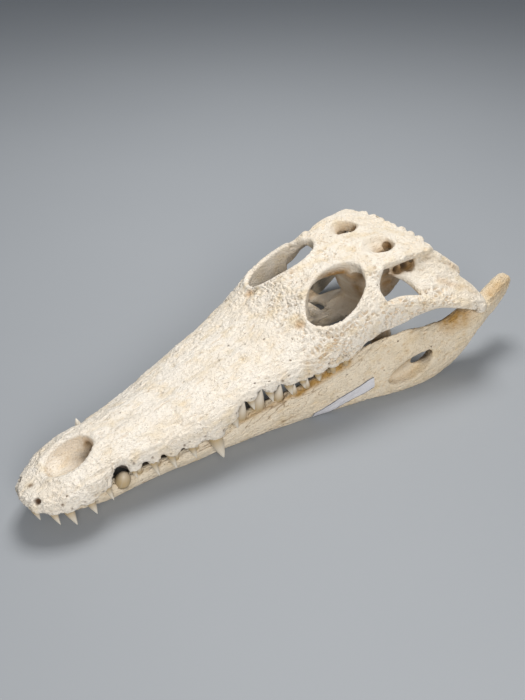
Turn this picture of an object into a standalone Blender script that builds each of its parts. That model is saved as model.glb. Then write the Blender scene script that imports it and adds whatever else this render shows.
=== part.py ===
"""Skull of a young Nile crocodile with its lower jaw shut, at life size.

The skull lies on the lower edges of its jaw. The snout points to -Y, the
animal's left side is +X, and the origin is under the middle of the skull at
the level that it lies on. Three bones are modelled: the cranium with the upper
teeth, and the two halves of the lower jaw with the lower teeth. A blank paper
label is stuck on the left side of the jaw.

Every size below is in millimetres. "back" is the distance behind the tip of
the snout, "x" the distance to the side of the midline, and "z" the height.
"""
import math

import bmesh
import bpy
import numpy as np
from mathutils import Matrix, Vector
from mathutils.bvhtree import BVHTree

# ---------------------------------------------------------------- sizes
MM = 0.001
OVERALL_LENGTH = 523.0      # tip of the snout to the end of the lower jaw
MIDLINE_GAP = 0.2           # half of the joint line between the jaw halves
TOOTH_ROW_WIDTH = 9.0       # rim of bone that carries the upper teeth
PALATE_VAULT = 6.0          # height of the palate above that rim
CHEEK_ROUNDING = 10.0       # most that the face rounds in above its lower rim
TOOTH_ROOT = 8.0            # length of a tooth inside its socket
TOOTH_TIP = 0.15            # width of a tooth's blunt tip over its base
TOOTH_SIDES = 5
LEFT_FANG_LENGTH = 16.0     # the left lower fang is worn short
LEFT_FANG_BACK = 74.5
TOOTH_INSET = 1.0           # bone outside the lower teeth
LOWER_TOOTH_RAKE = 0.05     # backward lean of a lower tooth over its length
TOOTH_SPLAY = 0.36          # outward lean of an upper tooth over its length
FRONT_TOOTH_SPLAY = 0.1     # the same for the tooth at the tip of the snout
TOOTH_RAKE = 0.15           # backward lean of an upper tooth over its length
TOOTH_MARGIN = 1.2          # bone outside the upper teeth
SEGMENTS = 18               # points round the head
BAR_SEGMENTS = 6            # points round a bar or plate of bone
SMOOTH_ANGLE = math.radians(35.0)
FLAT_ANGLE = math.radians(1.0)

# back, half width, top, lower rim: the snout and face, front to back
FACE = (
    (0.0, 4.5, 35.0, 29.5),
    (5.0, 16.0, 38.5, 26.0),
    (17.0, 26.8, 42.5, 23.0),
    (34.0, 34.0, 48.3, 22.0),
    (50.0, 35.8, 53.0, 24.0),
    (65.0, 33.0, 56.5, 28.5),
    (84.0, 34.2, 57.7, 30.0),
    (105.0, 38.0, 59.4, 30.0),
    (126.0, 42.6, 61.5, 29.5),
    (145.0, 47.5, 64.5, 31.0),
    (160.0, 51.4, 67.3, 30.5),
    (176.0, 51.2, 70.4, 39.0),
    (191.0, 51.0, 73.2, 52.0),
    (210.0, 53.5, 77.0, 54.0),
    (231.0, 58.8, 82.5, 54.5),
    (252.0, 64.5, 90.0, 54.5),
    (273.0, 70.0, 101.0, 57.5),
    (292.0, 74.0, 114.5, 59.5),
    (312.0, 77.0, 121.5, 66.0),
    (330.0, 78.5, 126.0, 72.0),
    (346.0, 80.0, 128.5, 75.0),
)
FACE_RINGS = 22
FACE_FULLNESS = (2.7, 2.1)  # superellipse power at the snout and at the eyes
TABLE_FULLNESS = 3.2
BRAINCASE_FULLNESS = 2.6
PALATE_BAR_FULLNESS = 2.4

# back, half width, top, underside: the flat skull table
TABLE = (
    (334.0, 24.0, 126.0, 113.0),
    (346.0, 41.0, 128.5, 115.0),
    (358.0, 47.5, 130.5, 116.5),
    (372.0, 52.5, 132.0, 118.0),
    (388.0, 55.0, 132.5, 118.5),
    (406.0, 57.0, 131.5, 118.0),
    (422.0, 58.5, 130.0, 116.5),
    (430.0, 56.0, 127.5, 117.5),
)

# back, half width, top, underside: braincase behind the eyes
BRAINCASE = (
    (343.0, 13.0, 126.0, 104.0),
    (352.0, 17.0, 126.0, 96.0),
    (363.0, 20.0, 126.0, 84.0),
    (374.0, 22.0, 126.0, 66.0),
    (390.0, 23.0, 126.0, 50.0),
    (410.0, 25.0, 126.0, 50.0),
    (428.0, 27.0, 124.0, 68.0),
)

# back, half width, top, underside: palatine bar and pterygoid body
PALATE_BAR = (
    (236.0, 14.0, 72.0, 55.0),
    (270.0, 11.0, 66.0, 52.0),
    (310.0, 9.0, 60.5, 49.0),
    (345.0, 10.0, 60.0, 47.0),
    (372.0, 18.0, 66.0, 46.0),
    (396.0, 17.0, 66.0, 46.0),
    (406.0, 12.0, 64.0, 52.0),
)

ORBIT_CENTRE = (37.5, 311.0)
ORBIT_RADII = (24.0, 36.5)
ORBIT_LEAN = -0.1           # the oval leans towards the midline at the back
TEMPORAL_HOLE_CENTRE = (23.5, 382.5)
TEMPORAL_HOLE_RADII = (13.5, 18.0)
NOSTRIL_CENTRE = 45.0
NOSTRIL_RADII = (16.0, 22.5)

BRAIN_OPENING_CENTRE = (0.0, 434.0, 92.0)
BRAIN_OPENING_RADII = (7.0, 5.0)
BRAIN_OPENING_DEPTH = 32.0

# back, length, radius of each upper tooth, front to back
UPPER_TEETH = (
    (4.5, 14.0, 2.4),
    (15.0, 13.0, 2.8),
    (26.0, 16.0, 4.0),
    (43.5, 13.5, 3.6),
    (60.0, 14.0, 3.2),
    (85.5, 8.0, 2.4),
    (103.0, 15.0, 3.2),
    (119.0, 14.0, 3.4),
    (138.0, 12.0, 3.5),
    (161.0, 23.0, 6.6),
    (181.0, 13.0, 4.8),
    (200.0, 11.5, 4.0),
    (219.0, 11.5, 4.0),
    (238.0, 11.0, 4.2),
    (251.0, 8.0, 3.2),
    (266.0, 7.0, 3.2),
    (281.0, 6.0, 3.0),
    (295.0, 5.0, 2.8),
)

# back, outer x at the top, outer x at the bottom, outward bulge between them,
# top, bottom, thickness
JAW = (
    (10.0, 5.5, 3.0, 0.0, 16.5, 12.5, 5.5),
    (17.0, 12.0, 6.0, 0.5, 17.0, 8.5, 12.0),
    (26.0, 17.5, 9.0, 1.0, 17.5, 4.5, 17.0),
    (45.0, 24.5, 14.5, 1.0, 18.0, 0.0, 22.0),
    (60.0, 28.5, 20.0, 1.0, 20.0, 0.0, 22.0),
    (70.0, 31.0, 22.0, 1.0, 21.5, 0.0, 20.0),
    (84.0, 27.5, 22.5, 1.0, 18.5, 0.0, 13.0),
    (105.0, 29.5, 25.0, 1.0, 17.5, 0.0, 13.0),
    (128.0, 35.0, 28.0, 1.0, 17.5, 0.0, 14.0),
    (150.0, 39.0, 34.0, 1.0, 20.0, 0.0, 15.0),
    (176.0, 41.5, 39.0, 1.0, 24.0, 0.0, 16.0),
    (201.0, 43.5, 45.0, 1.0, 28.0, 0.0, 16.0),
    (231.0, 50.0, 52.0, 1.0, 33.5, 0.0, 15.0),
    (265.0, 60.0, 61.0, 1.5, 40.0, 0.0, 14.0),
    (294.0, 64.5, 70.0, 2.0, 49.5, 0.0, 12.5),
    (326.0, 69.0, 80.0, 4.0, 56.0, 0.0, 12.0),
    (357.0, 77.0, 91.5, 6.0, 59.0, 0.0, 13.0),
    (380.0, 83.0, 98.0, 5.0, 59.0, 0.0, 14.0),
    (396.0, 88.0, 100.5, 4.0, 56.5, 0.0, 15.0),
    (420.0, 96.0, 103.0, 2.0, 57.0, 4.0, 18.0),
    (443.0, 106.0, 106.0, 0.0, 64.0, 18.0, 24.0),
    (457.0, 109.0, 106.0, 0.0, 67.0, 32.0, 26.0),
    (470.0, 106.0, 104.0, 0.0, 67.5, 38.0, 21.0),
    (485.0, 103.0, 102.0, 0.0, 71.5, 42.0, 18.0),
    (500.0, 101.0, 100.0, 0.0, 76.0, 47.0, 17.0),
    (513.0, 98.0, 97.0, 0.0, 76.0, 54.0, 15.0),
    (523.0, 93.0, 93.0, 0.0, 69.0, 61.0, 7.0),
)
JAW_RINGS = 27
JAW_SEGMENTS = 10
JAW_WINDOW_LATERAL = (114.0, 370.0, 17.0)
JAW_WINDOW_MEDIAL = (66.0, 371.0, 37.0)
JAW_WINDOW_RADII = (27.0, 12.0)
JAW_WINDOW_RISE = 0.22      # rise of the window's long axis to the back

# x, back, z, radius: the roller at the end of the cranium's quadrate bone,
# which sits in the socket of the lower jaw
JOINT_ROLLER = (
    (86.0, 460.0, 72.0, 4.0),
    (93.0, 457.0, 71.0, 7.5),
    (105.0, 451.0, 71.0, 7.5),
    (112.5, 447.5, 72.0, 4.5),
)
JOINT_GAP = 0.5
ROLLER_SEGMENTS = 10

# back, length, radius, outward lean of each lower tooth, front to back
FANG_BACK = 72.0
LOWER_TEETH = (
    (13.0, 6.0, 1.8, 0.5),
    (22.0, 6.0, 2.2, 0.5),
    (36.0, 9.5, 3.6, 1.5),
    (52.0, 8.5, 3.4, 1.0),
    (FANG_BACK, 30.0, 6.0, 12.0),
    (94.0, 10.5, 3.4, 1.0),
    (111.0, 11.0, 3.4, 1.0),
    (128.0, 11.0, 3.4, 1.0),
    (147.0, 10.0, 3.2, 1.0),
    (174.0, 11.0, 3.4, 3.0),
    (197.0, 20.0, 5.4, 5.5),
    (216.0, 22.0, 6.0, 6.0),
    (235.0, 16.0, 5.0, 4.0),
    (249.0, 9.0, 3.6, 1.5),
    (262.0, 8.0, 3.3, 1.0),
    (275.0, 6.0, 3.2, 1.0),
    (287.0, 5.0, 3.0, 1.0),
)

# the paper label: back and height of its upper edge at its two ends
LABEL_FRONT = (264.5, 8.5)
LABEL_REAR = (328.5, 30.5)
LABEL_HEIGHT = 13.0
LABEL_LOWEST = 1.0
LABEL_GAP = 0.9
LABEL_THICKNESS = 0.5
LABEL_STEPS = 14
OUTSIDE = 200.0             # x of a place well outside the jaw

BONE_COLOUR = (0.80, 0.74, 0.62, 1.0)
JAW_COLOUR = (0.76, 0.68, 0.54, 1.0)
LABEL_COLOUR = (0.70, 0.67, 0.67, 1.0)


# ---------------------------------------------------------------- helpers
def clear_scene():
    """Remove every object, so that the skull is alone."""
    for thing in list(bpy.data.objects):
        bpy.data.objects.remove(thing, do_unlink=True)


def collection(name):
    """A new collection in the scene."""
    group = bpy.data.collections.new(name)
    bpy.context.scene.collection.children.link(group)
    return group


def material(name, colour, roughness):
    """A plain material of one colour."""
    finish = bpy.data.materials.new(name)
    finish.use_nodes = True
    shader = finish.node_tree.nodes["Principled BSDF"]
    shader.inputs["Base Color"].default_value = colour
    shader.inputs["Roughness"].default_value = roughness
    shader.inputs["Metallic"].default_value = 0.0
    finish.diffuse_color = colour
    return finish


def at(x, back, z):
    """A place on the skull, from millimetres to the world's metres."""
    return Vector((x, back - OVERALL_LENGTH / 2.0, z)) * MM


def flow(rows, places):
    """Rows of numbers, read smoothly and without overshoot at new places.

    The first number of each row is where it stands.
    """
    table = np.array(rows, dtype=float)
    knots = table[:, 0]
    values = table[:, 1:]
    step = np.diff(knots)[:, None]
    slope = np.diff(values, axis=0) / step
    tangent = np.zeros_like(values)
    tangent[0] = slope[0]
    tangent[-1] = slope[-1]
    same_way = slope[:-1] * slope[1:] > 0.0
    total = np.where(same_way, slope[:-1] + slope[1:], 1.0)
    tangent[1:-1] = np.where(same_way, 2.0 * slope[:-1] * slope[1:] / total, 0.0)
    result = []
    for place in places:
        i = int(np.clip(np.searchsorted(knots, place) - 1, 0, len(knots) - 2))
        width = knots[i + 1] - knots[i]
        t = (place - knots[i]) / width
        a = (1.0 + 2.0 * t) * (1.0 - t) ** 2 * values[i]
        b = t * (1.0 - t) ** 2 * width * tangent[i]
        c = t * t * (3.0 - 2.0 * t) * values[i + 1]
        d = t * t * (t - 1.0) * width * tangent[i + 1]
        result.append(a + b + c + d)
    return result


def power(value, exponent):
    """A signed power, for superellipses."""
    return math.copysign(abs(value) ** exponent, value)


def solid(name, rings, group):
    """A closed solid lofted through rings of equal count."""
    mesh = bpy.data.meshes.new(name)
    bm = bmesh.new()
    loops = [[bm.verts.new(point) for point in ring] for ring in rings]
    count = len(loops[0])
    for first, second in zip(loops, loops[1:]):
        for i in range(count):
            j = (i + 1) % count
            bm.faces.new((first[i], first[j], second[j], second[i]))
    bm.faces.new(loops[0])
    bm.faces.new(loops[-1])
    bmesh.ops.recalc_face_normals(bm, faces=bm.faces)
    bmesh.ops.triangulate(bm, faces=bm.faces)
    bm.to_mesh(mesh)
    bm.free()
    mesh.shade_smooth()
    mesh.set_sharp_from_angle(angle=SMOOTH_ANGLE)
    thing = bpy.data.objects.new(name, mesh)
    group.objects.link(thing)
    return thing


def slab(name, rows, rings, segments, fullness, group):
    """A solid with level cross-sections: back, half width, top, underside."""
    places = np.linspace(rows[0][0], rows[-1][0], rings)
    loops = []
    for place, (half, top, under) in zip(places, flow(rows, places)):
        middle = (top + under) / 2.0
        height = (top - under) / 2.0
        ring = []
        for k in range(segments):
            turn = 2.0 * math.pi * k / segments
            x = half * power(math.cos(turn), 2.0 / fullness)
            z = middle + height * power(math.sin(turn), 2.0 / fullness)
            ring.append(at(x, place, z))
        loops.append(ring)
    return solid(name, loops, group)


def plate(name, rows, side, group, steps=2, segments=BAR_SEGMENTS):
    """A bar or plate of bone between two edges.

    Each row has a point of one edge, a point of the other and half the
    thickness. The rows are joined smoothly.
    """
    numbers = [(i, *row[0], *row[1], row[2]) for i, row in enumerate(rows)]
    places = np.linspace(0, len(rows) - 1, steps * (len(rows) - 1) + 1)
    table = flow(numbers, places)
    centres = [(row[0:3] + row[3:6]) / 2.0 for row in table]
    loops = []
    for i, row in enumerate(table):
        ahead = Vector(centres[min(i + 1, len(table) - 1)])
        behind = Vector(centres[max(i - 1, 0)])
        across = (Vector(row[3:6]) - Vector(row[0:3])) / 2.0
        normal = across.cross(ahead - behind).normalized() * row[6]
        ring = []
        for k in range(segments):
            turn = 2.0 * math.pi * k / segments
            point = Vector(centres[i])
            point += across * power(math.cos(turn), 0.8)
            point += normal * power(math.sin(turn), 0.8)
            ring.append(at(side * point.x, point.y, point.z))
        loops.append(ring)
    return solid(name, loops, group)


def shaft(name, levels, side, group, segments=14):
    """A hole of oval level sections: z, centre x and back, radii x and back.

    A level's last number, where it has one, is the oval's lean to the back.
    """
    loops = []
    for z, x, back, radius_x, radius_back, *rest in levels:
        lean = rest[0] if rest else 0.0
        ring = []
        for k in range(segments):
            turn = 2.0 * math.pi * k / segments
            along = radius_back * math.sin(turn)
            across = side * (x + radius_x * math.cos(turn) + lean * along)
            ring.append(at(across, back + along, z))
        loops.append(ring)
    return solid(name, loops, group)


def tooth(name, base, tip, radius, group):
    """A pointed tooth from its root, inside the bone, to its tip."""
    axis = (Vector(tip) - Vector(base)).normalized()
    root = Vector(base) - axis * TOOTH_ROOT
    length = (Vector(tip) - root).length
    middle = (Vector(tip) + root) / 2.0
    mesh = bpy.data.meshes.new(name)
    bm = bmesh.new()
    bmesh.ops.create_cone(bm, cap_ends=True, segments=TOOTH_SIDES, radius1=radius * MM,
                          radius2=radius * TOOTH_TIP * MM, depth=length * MM)
    turn = axis.to_track_quat("Z", "Y").to_matrix()
    bmesh.ops.rotate(bm, verts=bm.verts, matrix=turn)
    bmesh.ops.translate(bm, verts=bm.verts, vec=at(*middle))
    bm.to_mesh(mesh)
    bm.free()
    mesh.shade_smooth()
    thing = bpy.data.objects.new(name, mesh)
    group.objects.link(thing)
    return thing


def join(things, name):
    """Several closed solids as one object of separate bodies."""
    bm = bmesh.new()
    for thing in things:
        bm.from_mesh(thing.data)
    bm.to_mesh(things[0].data)
    bm.free()
    for thing in things[1:]:
        bpy.data.objects.remove(thing, do_unlink=True)
    things[0].name = name
    return things[0]


def boolean(thing, tool, operation):
    """Join or cut thing with tool."""
    step = thing.modifiers.new(tool.name, "BOOLEAN")
    step.operation = operation
    step.solver = "EXACT"
    step.object = tool
    tool.hide_render = True
    tool.display_type = "WIRE"


def merge_flat(thing):
    """Merge the neighbouring faces of thing that lie in one plane."""
    step = thing.modifiers.new("merge_flat", "DECIMATE")
    step.decimate_type = "DISSOLVE"
    step.angle_limit = FLAT_ANGLE


# ---------------------------------------------------------------- cranium
def face_at(back):
    """Half width, top and lower rim of the face."""
    return flow(FACE, [back])[0]


def face(group):
    """Snout and face in one form, from the tip to behind the eyes."""
    spread = np.linspace(0.0, 1.0, FACE_RINGS)
    places = FACE[0][0] + (FACE[-1][0] - FACE[0][0]) * spread ** 1.25
    loops = []
    for place, (half, top, rim) in zip(places, flow(FACE, places)):
        share = place / FACE[-1][0]
        fullness = FACE_FULLNESS[0] + (FACE_FULLNESS[1] - FACE_FULLNESS[0]) * share
        shoulder = rim + min(0.3 * (top - rim), CHEEK_ROUNDING)
        ring = []
        for k in range(SEGMENTS):
            turn = 2.0 * math.pi * k / SEGMENTS
            x = half * power(math.cos(turn), 2.0 / fullness)
            rise = math.sin(turn)
            if rise >= 0.0:
                z = shoulder + (top - shoulder) * power(rise, 2.0 / fullness)
            else:
                z = shoulder + (shoulder - rim) * power(rise, 0.4)
            ring.append(at(x, place, z))
        loops.append(ring)
    return solid("cranium", loops, group)


def palate_vault(group):
    """The hollow between the two rows of upper teeth."""
    places = np.linspace(14.0, 302.0, 20)
    loops = []
    for place, (half, top, rim) in zip(places, flow(FACE, places)):
        inner = half - TOOTH_ROW_WIDTH
        vault = min(rim + PALATE_VAULT, top - 12.0)
        loops.append([at(inner, place, rim - 20.0), at(inner, place, rim + 2.0),
                      at(inner * 0.86, place, vault), at(-inner * 0.86, place, vault),
                      at(-inner, place, rim + 2.0), at(-inner, place, rim - 20.0)])
    return solid("cut_palate", loops, group)


def orbit(side, group):
    """Eye opening, down through the palate beside the palatine bar."""
    x, back = ORBIT_CENTRE
    wide, long = ORBIT_RADII
    levels = ((20.0, 29.5, 300.0, 15.5, 36.0), (60.0, 31.0, 302.0, 17.0, 36.0),
              (80.0, 36.5, 308.0, 19.5, 35.0), (98.0, x, back, wide, long, ORBIT_LEAN),
              (124.0, x, back, wide, long, ORBIT_LEAN), (150.0, x, back, wide, long, ORBIT_LEAN))
    return shaft("cut_orbit", levels, side, group)


def temporal_hole(side, group):
    """Round opening in the skull table, a funnel over a narrow shaft."""
    x, back = TEMPORAL_HOLE_CENTRE
    wide, long = TEMPORAL_HOLE_RADII
    levels = ((76.0, x + 5.5, back + 9.5, 5.0, 7.0), (119.0, x + 4.5, back + 8.0, 5.0, 8.0),
              (125.0, x + 3.5, back + 6.5, 7.0, 10.0), (132.0, x, back, wide, long),
              (150.0, x, back, wide + 1.0, long + 1.0))
    return shaft("cut_temporal_hole", levels, side, group)


def brow_window(side, group):
    """Open space under the brow, from the orbit to the one on the far side."""
    levels = ((72.0, 14.0, 340.0, 17.0, 20.0), (79.0, 15.0, 336.0, 20.0, 34.0),
              (105.0, 15.0, 336.0, 20.0, 34.0), (111.0, 14.0, 336.0, 17.0, 28.0))
    return shaft("cut_brow_window", levels, side, group, 12)


def cheek_space(side, group):
    """Space of the jaw muscles behind the orbit, open to the orbit."""
    levels = ((20.0, 45.0, 356.0, 25.0, 22.0), (96.0, 45.0, 356.0, 23.0, 22.0),
              (116.0, 45.0, 356.0, 21.0, 20.0))
    return shaft("cut_cheek_space", levels, side, group, 12)


def nostril(group):
    """Single opening of the nose on top of the snout, and its passage."""
    wide, long = NOSTRIL_RADII
    levels = ((36.5, 0.0, 45.0, 9.5, 16.0), (41.0, 0.0, 45.0, 13.5, 20.0),
              (48.0, 0.0, NOSTRIL_CENTRE, wide, long), (70.0, 0.0, NOSTRIL_CENTRE, wide, long))
    return shaft("cut_nostril", levels, 1, group, 16)


def fang_notch(side, group):
    """Notch in the snout's edge that takes the large lower tooth."""
    levels = ((10.0, 32.0, 72.5, 12.0, 9.5), (30.0, 33.0, 72.5, 11.5, 9.5),
              (44.0, 37.5, 73.0, 7.5, 7.5), (62.0, 40.0, 74.0, 4.5, 4.5))
    return shaft("cut_fang_notch", levels, side, group, 12)


def cheek_bars(side, group):
    """Jugal, postorbital bar, quadrate and the squamosal corner of one side."""
    jugal = (((66, 322, 101), (73, 322, 76), 5.0), ((69, 343, 102), (76, 343, 76), 6.0),
             ((71, 362, 102.5), (80, 362, 77), 5.5), ((77, 378, 101), (85, 378, 82), 5.5),
             ((85, 398, 94), (90, 398, 83), 6.0), ((95, 420, 87), (98, 420, 78), 6.5),
             ((103, 440, 80), (105, 440, 71), 6.5))
    postorbital = (((38, 345, 124), (51, 362, 124), 5.0), ((49, 342, 113), (56, 352, 113), 5.5),
                   ((57, 334, 102), (66, 347, 102), 6.5), ((61, 331, 93), (72, 352, 93), 7.0))
    quadrate = (((34, 396, 114), (52, 368, 118), 4.0), ((44, 412, 111), (64, 385, 106), 6.0),
                ((58, 430, 104), (80, 388, 97), 6.0), ((72, 446, 94), (95, 410, 87), 6.5),
                ((85, 456, 82), (107, 436, 79), 6.5), ((88, 459, 75), (111, 449, 75), 5.5))
    squamosal = (((42, 416, 125), (40, 420, 106), 6.5), ((56, 429, 121), (55, 430, 102), 6.5),
                 ((65, 441, 111), (64, 441, 95), 6.0), ((72, 454, 99), (70, 456, 88), 4.5))
    ear_shelf = (((47, 408, 121), (58, 398, 108), 4.0), ((59, 424, 113), (71, 413, 102), 4.5),
                 ((68, 438, 104), (80, 428, 94), 4.5), ((73, 448, 96), (86, 440, 87), 4.0))
    bars = {"jugal": jugal, "postorbital": postorbital, "quadrate": quadrate,
            "squamosal": squamosal, "ear_shelf": ear_shelf}
    return [plate("add_" + name, rows, side, group) for name, rows in bars.items()]


def wing_bones(side, group):
    """Pterygoid wing, its strut to the cheek, and the occiput's side plate."""
    pterygoid = (((6, 348, 60), (6, 402, 56), 6.0), ((24, 352, 54), (24, 400, 51), 4.5),
                 ((42, 357, 42), (42, 392, 40), 4.0), ((52, 362, 33), (52, 386, 31), 4.5))
    strut = (((64, 318, 84), (66, 336, 84), 5.0), ((55, 334, 68), (56, 352, 70), 5.0),
             ((49, 352, 50), (50, 366, 54), 5.0), ((46, 362, 38), (47, 380, 40), 4.0))
    occiput = (((4, 425, 123), (4, 430, 86), 6.0), ((26, 426, 121), (26, 431, 88), 6.0),
               ((46, 432, 117), (46, 437, 89), 6.0), ((62, 443, 108), (62, 449, 88), 5.0))
    bars = {"pterygoid": pterygoid, "strut": strut, "occiput": occiput}
    return [plate("add_" + name, rows, side, group) for name, rows in bars.items()]


def condyle(group):
    """Knob under the brain's opening, where the neck was joined."""
    levels = ((68.0, 0.0, 430.0, 4.0, 5.0), (71.0, 0.0, 431.0, 8.0, 8.5),
              (79.0, 0.0, 431.0, 8.5, 9.0), (83.0, 0.0, 430.0, 5.0, 6.0))
    return shaft("add_condyle", levels, 1, group, 10)


def brain_opening(group):
    """Round hole above the condyle, into the back of the braincase."""
    wide, narrow = BRAIN_OPENING_RADII
    mesh = bpy.data.meshes.new("cut_brain_opening")
    bm = bmesh.new()
    bmesh.ops.create_cone(bm, cap_ends=True, segments=10, radius1=wide * MM, radius2=narrow * MM,
                          depth=BRAIN_OPENING_DEPTH * MM)
    bmesh.ops.rotate(bm, verts=bm.verts, matrix=Matrix.Rotation(math.pi / 2.0, 3, "X"))
    bmesh.ops.translate(bm, verts=bm.verts, vec=at(*BRAIN_OPENING_CENTRE))
    bm.to_mesh(mesh)
    bm.free()
    thing = bpy.data.objects.new("cut_brain_opening", mesh)
    group.objects.link(thing)
    return thing


def joint_roller(name, grow, side, group):
    """The quadrate's roller, or the socket for it when grown."""
    middle = (JOINT_ROLLER[0][0] + JOINT_ROLLER[-1][0]) / 2.0
    turns = [2.0 * math.pi * k / ROLLER_SEGMENTS for k in range(ROLLER_SEGMENTS)]
    rings = []
    for x, back, z, radius in JOINT_ROLLER:
        across = side * (x + math.copysign(grow, x - middle))
        reach = radius + grow
        rings.append([at(across, back + reach * math.cos(t), z + reach * math.sin(t)) for t in turns])
    return solid(name, rings, group)


def upper_teeth(side, group):
    """The upper teeth of one side, along the rim of the snout."""
    teeth = []
    for back, length, radius in UPPER_TEETH:
        half, top, rim = face_at(back)
        x = half - radius - TOOTH_MARGIN
        lean = length * (FRONT_TOOTH_SPLAY if back == UPPER_TEETH[0][0] else TOOTH_SPLAY)
        tip = (side * (x + lean), back + TOOTH_RAKE * length, rim - length)
        teeth.append(tooth("add_upper_tooth", (side * x, back, rim), tip, radius, group))
    return teeth


def cranium(parts, tools, finish):
    """The whole cranium with its teeth."""
    skull = face(parts)
    skull.data.materials.append(finish)
    for tool in (palate_vault(tools), nostril(tools)):
        boolean(skull, tool, "DIFFERENCE")
    for side in (1, -1):
        boolean(skull, brow_window(side, tools), "DIFFERENCE")
        boolean(skull, cheek_space(side, tools), "DIFFERENCE")
        boolean(skull, fang_notch(side, tools), "DIFFERENCE")
    boolean(skull, slab("add_table", TABLE, 8, 14, TABLE_FULLNESS, tools), "UNION")
    boolean(skull, slab("add_braincase", BRAINCASE, 6, 10, BRAINCASE_FULLNESS, tools), "UNION")
    boolean(skull, slab("add_palate_bar", PALATE_BAR, 8, 8, PALATE_BAR_FULLNESS, tools), "UNION")
    for side in (1, -1):
        boolean(skull, orbit(side, tools), "DIFFERENCE")
        for bar in cheek_bars(side, tools) + wing_bones(side, tools):
            boolean(skull, bar, "UNION")
        boolean(skull, joint_roller("add_joint_roller", 0.0, side, tools), "UNION")
        boolean(skull, temporal_hole(side, tools), "DIFFERENCE")
    boolean(skull, condyle(tools), "UNION")
    boolean(skull, brain_opening(tools), "DIFFERENCE")
    teeth = [one for side in (1, -1) for one in upper_teeth(side, tools)]
    boolean(skull, join(teeth, "add_upper_teeth"), "UNION")
    merge_flat(skull)
    return skull


# ---------------------------------------------------------------- lower jaw
def jaw_half(name, side, group):
    """One half of the lower jaw, from the chin to its rear process."""
    places = np.linspace(JAW[0][0], JAW[-1][0], JAW_RINGS)
    loops = []
    for place, row in zip(places, flow(JAW, places)):
        outer_top, outer_bottom, bulge, top, bottom, thickness = row
        middle = (top + bottom) / 2.0
        height = (top - bottom) / 2.0 + 0.6
        ring = []
        for k in range(JAW_SEGMENTS):
            turn = 2.0 * math.pi * (k + 0.5) / JAW_SEGMENTS
            rise = power(math.sin(turn), 0.72)
            outer = (outer_top + outer_bottom) / 2.0 + rise * (outer_top - outer_bottom) / 2.0
            outer += bulge * (1.0 - rise * rise)
            centre = outer - thickness / 2.0
            x = centre + thickness / 2.0 * power(math.cos(turn), 0.8)
            z = middle + rise * height
            ring.append(at(side * max(x, MIDLINE_GAP), place, max(z, 0.0)))
        loops.append(ring)
    return solid(name, loops, group)


def jaw_window(side, group):
    """Opening in the side of the jaw, slanting up into its inner face."""
    rings = []
    long, high = JAW_WINDOW_RADII
    for x, back, z in (JAW_WINDOW_LATERAL, JAW_WINDOW_MEDIAL):
        ring = []
        for k in range(14):
            turn = 2.0 * math.pi * k / 14
            along = long * math.cos(turn)
            rise = high * math.sin(turn) + JAW_WINDOW_RISE * along
            ring.append(at(side * x, back + along, z + rise))
        rings.append(ring)
    return solid("cut_jaw_window", rings, group)


def lower_teeth(side, group):
    """The lower teeth of one side. The fifth is the large fang."""
    teeth = []
    for back, length, radius, lean in LOWER_TEETH:
        outer, lower, bulge, top, bottom, thickness = flow(JAW, [back])[0]
        x = max(outer - radius - TOOTH_INSET, radius)
        if back == FANG_BACK and side > 0:
            lean *= LEFT_FANG_LENGTH / length
            length, back = LEFT_FANG_LENGTH, LEFT_FANG_BACK
        tip = (side * (x + lean), back + LOWER_TOOTH_RAKE * length, top + length)
        teeth.append(tooth("add_lower_tooth", (side * x, back, top), tip, radius, group))
    return teeth


def lower_jaw(name, side, parts, tools, finish):
    """One half of the lower jaw with its teeth."""
    bone = jaw_half(name, side, parts)
    bone.data.materials.append(finish)
    boolean(bone, jaw_window(side, tools), "DIFFERENCE")
    boolean(bone, joint_roller("cut_joint_socket", JOINT_GAP, side, tools), "DIFFERENCE")
    boolean(bone, join(lower_teeth(side, tools), "add_lower_teeth"), "UNION")
    merge_flat(bone)
    return bone


def label(jaw, group, finish):
    """A strip of paper that follows the outer face of the left jaw half."""
    surface = BVHTree.FromPolygons([v.co for v in jaw.data.vertices],
                                   [f.vertices for f in jaw.data.polygons])
    rings = []
    for step in range(LABEL_STEPS + 1):
        share = step / LABEL_STEPS
        back = LABEL_FRONT[0] + (LABEL_REAR[0] - LABEL_FRONT[0]) * share
        upper = LABEL_FRONT[1] + (LABEL_REAR[1] - LABEL_FRONT[1]) * share
        lower = max(upper - LABEL_HEIGHT, LABEL_LOWEST)
        inner = []
        outer = []
        for z in np.linspace(lower, upper, 5):
            start = at(OUTSIDE, back, z)
            place, normal, face_index, distance = surface.ray_cast(start, Vector((-1.0, 0.0, 0.0)))
            inner.append(place + normal * LABEL_GAP * MM)
            outer.append(place + normal * (LABEL_GAP + LABEL_THICKNESS) * MM)
        rings.append(inner + outer[::-1])
    strip = solid("label", rings, group)
    strip.data.materials.append(finish)
    return strip


def main():
    clear_scene()
    parts = collection("crocodile_skull")
    tools = collection("cutters")
    cranium(parts, tools, material("cranium_bone", BONE_COLOUR, 0.6))
    left = lower_jaw("jaw_left", 1, parts, tools, material("jaw_left_bone", JAW_COLOUR, 0.55))
    lower_jaw("jaw_right", -1, parts, tools, material("jaw_right_bone", JAW_COLOUR, 0.55))
    label(left, parts, material("label_paper", LABEL_COLOUR, 0.7))


main()
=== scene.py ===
"""Dried skull of a young Nile crocodile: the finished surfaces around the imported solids.

Sizes are in millimetres until a shape is made: "back" is the distance behind
the tip of the snout, "x" the distance to the animal's left and "z" the height.
"""
import math

import bpy
import numpy as np
from mathutils import Matrix, Vector
from mathutils.bvhtree import BVHTree

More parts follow.
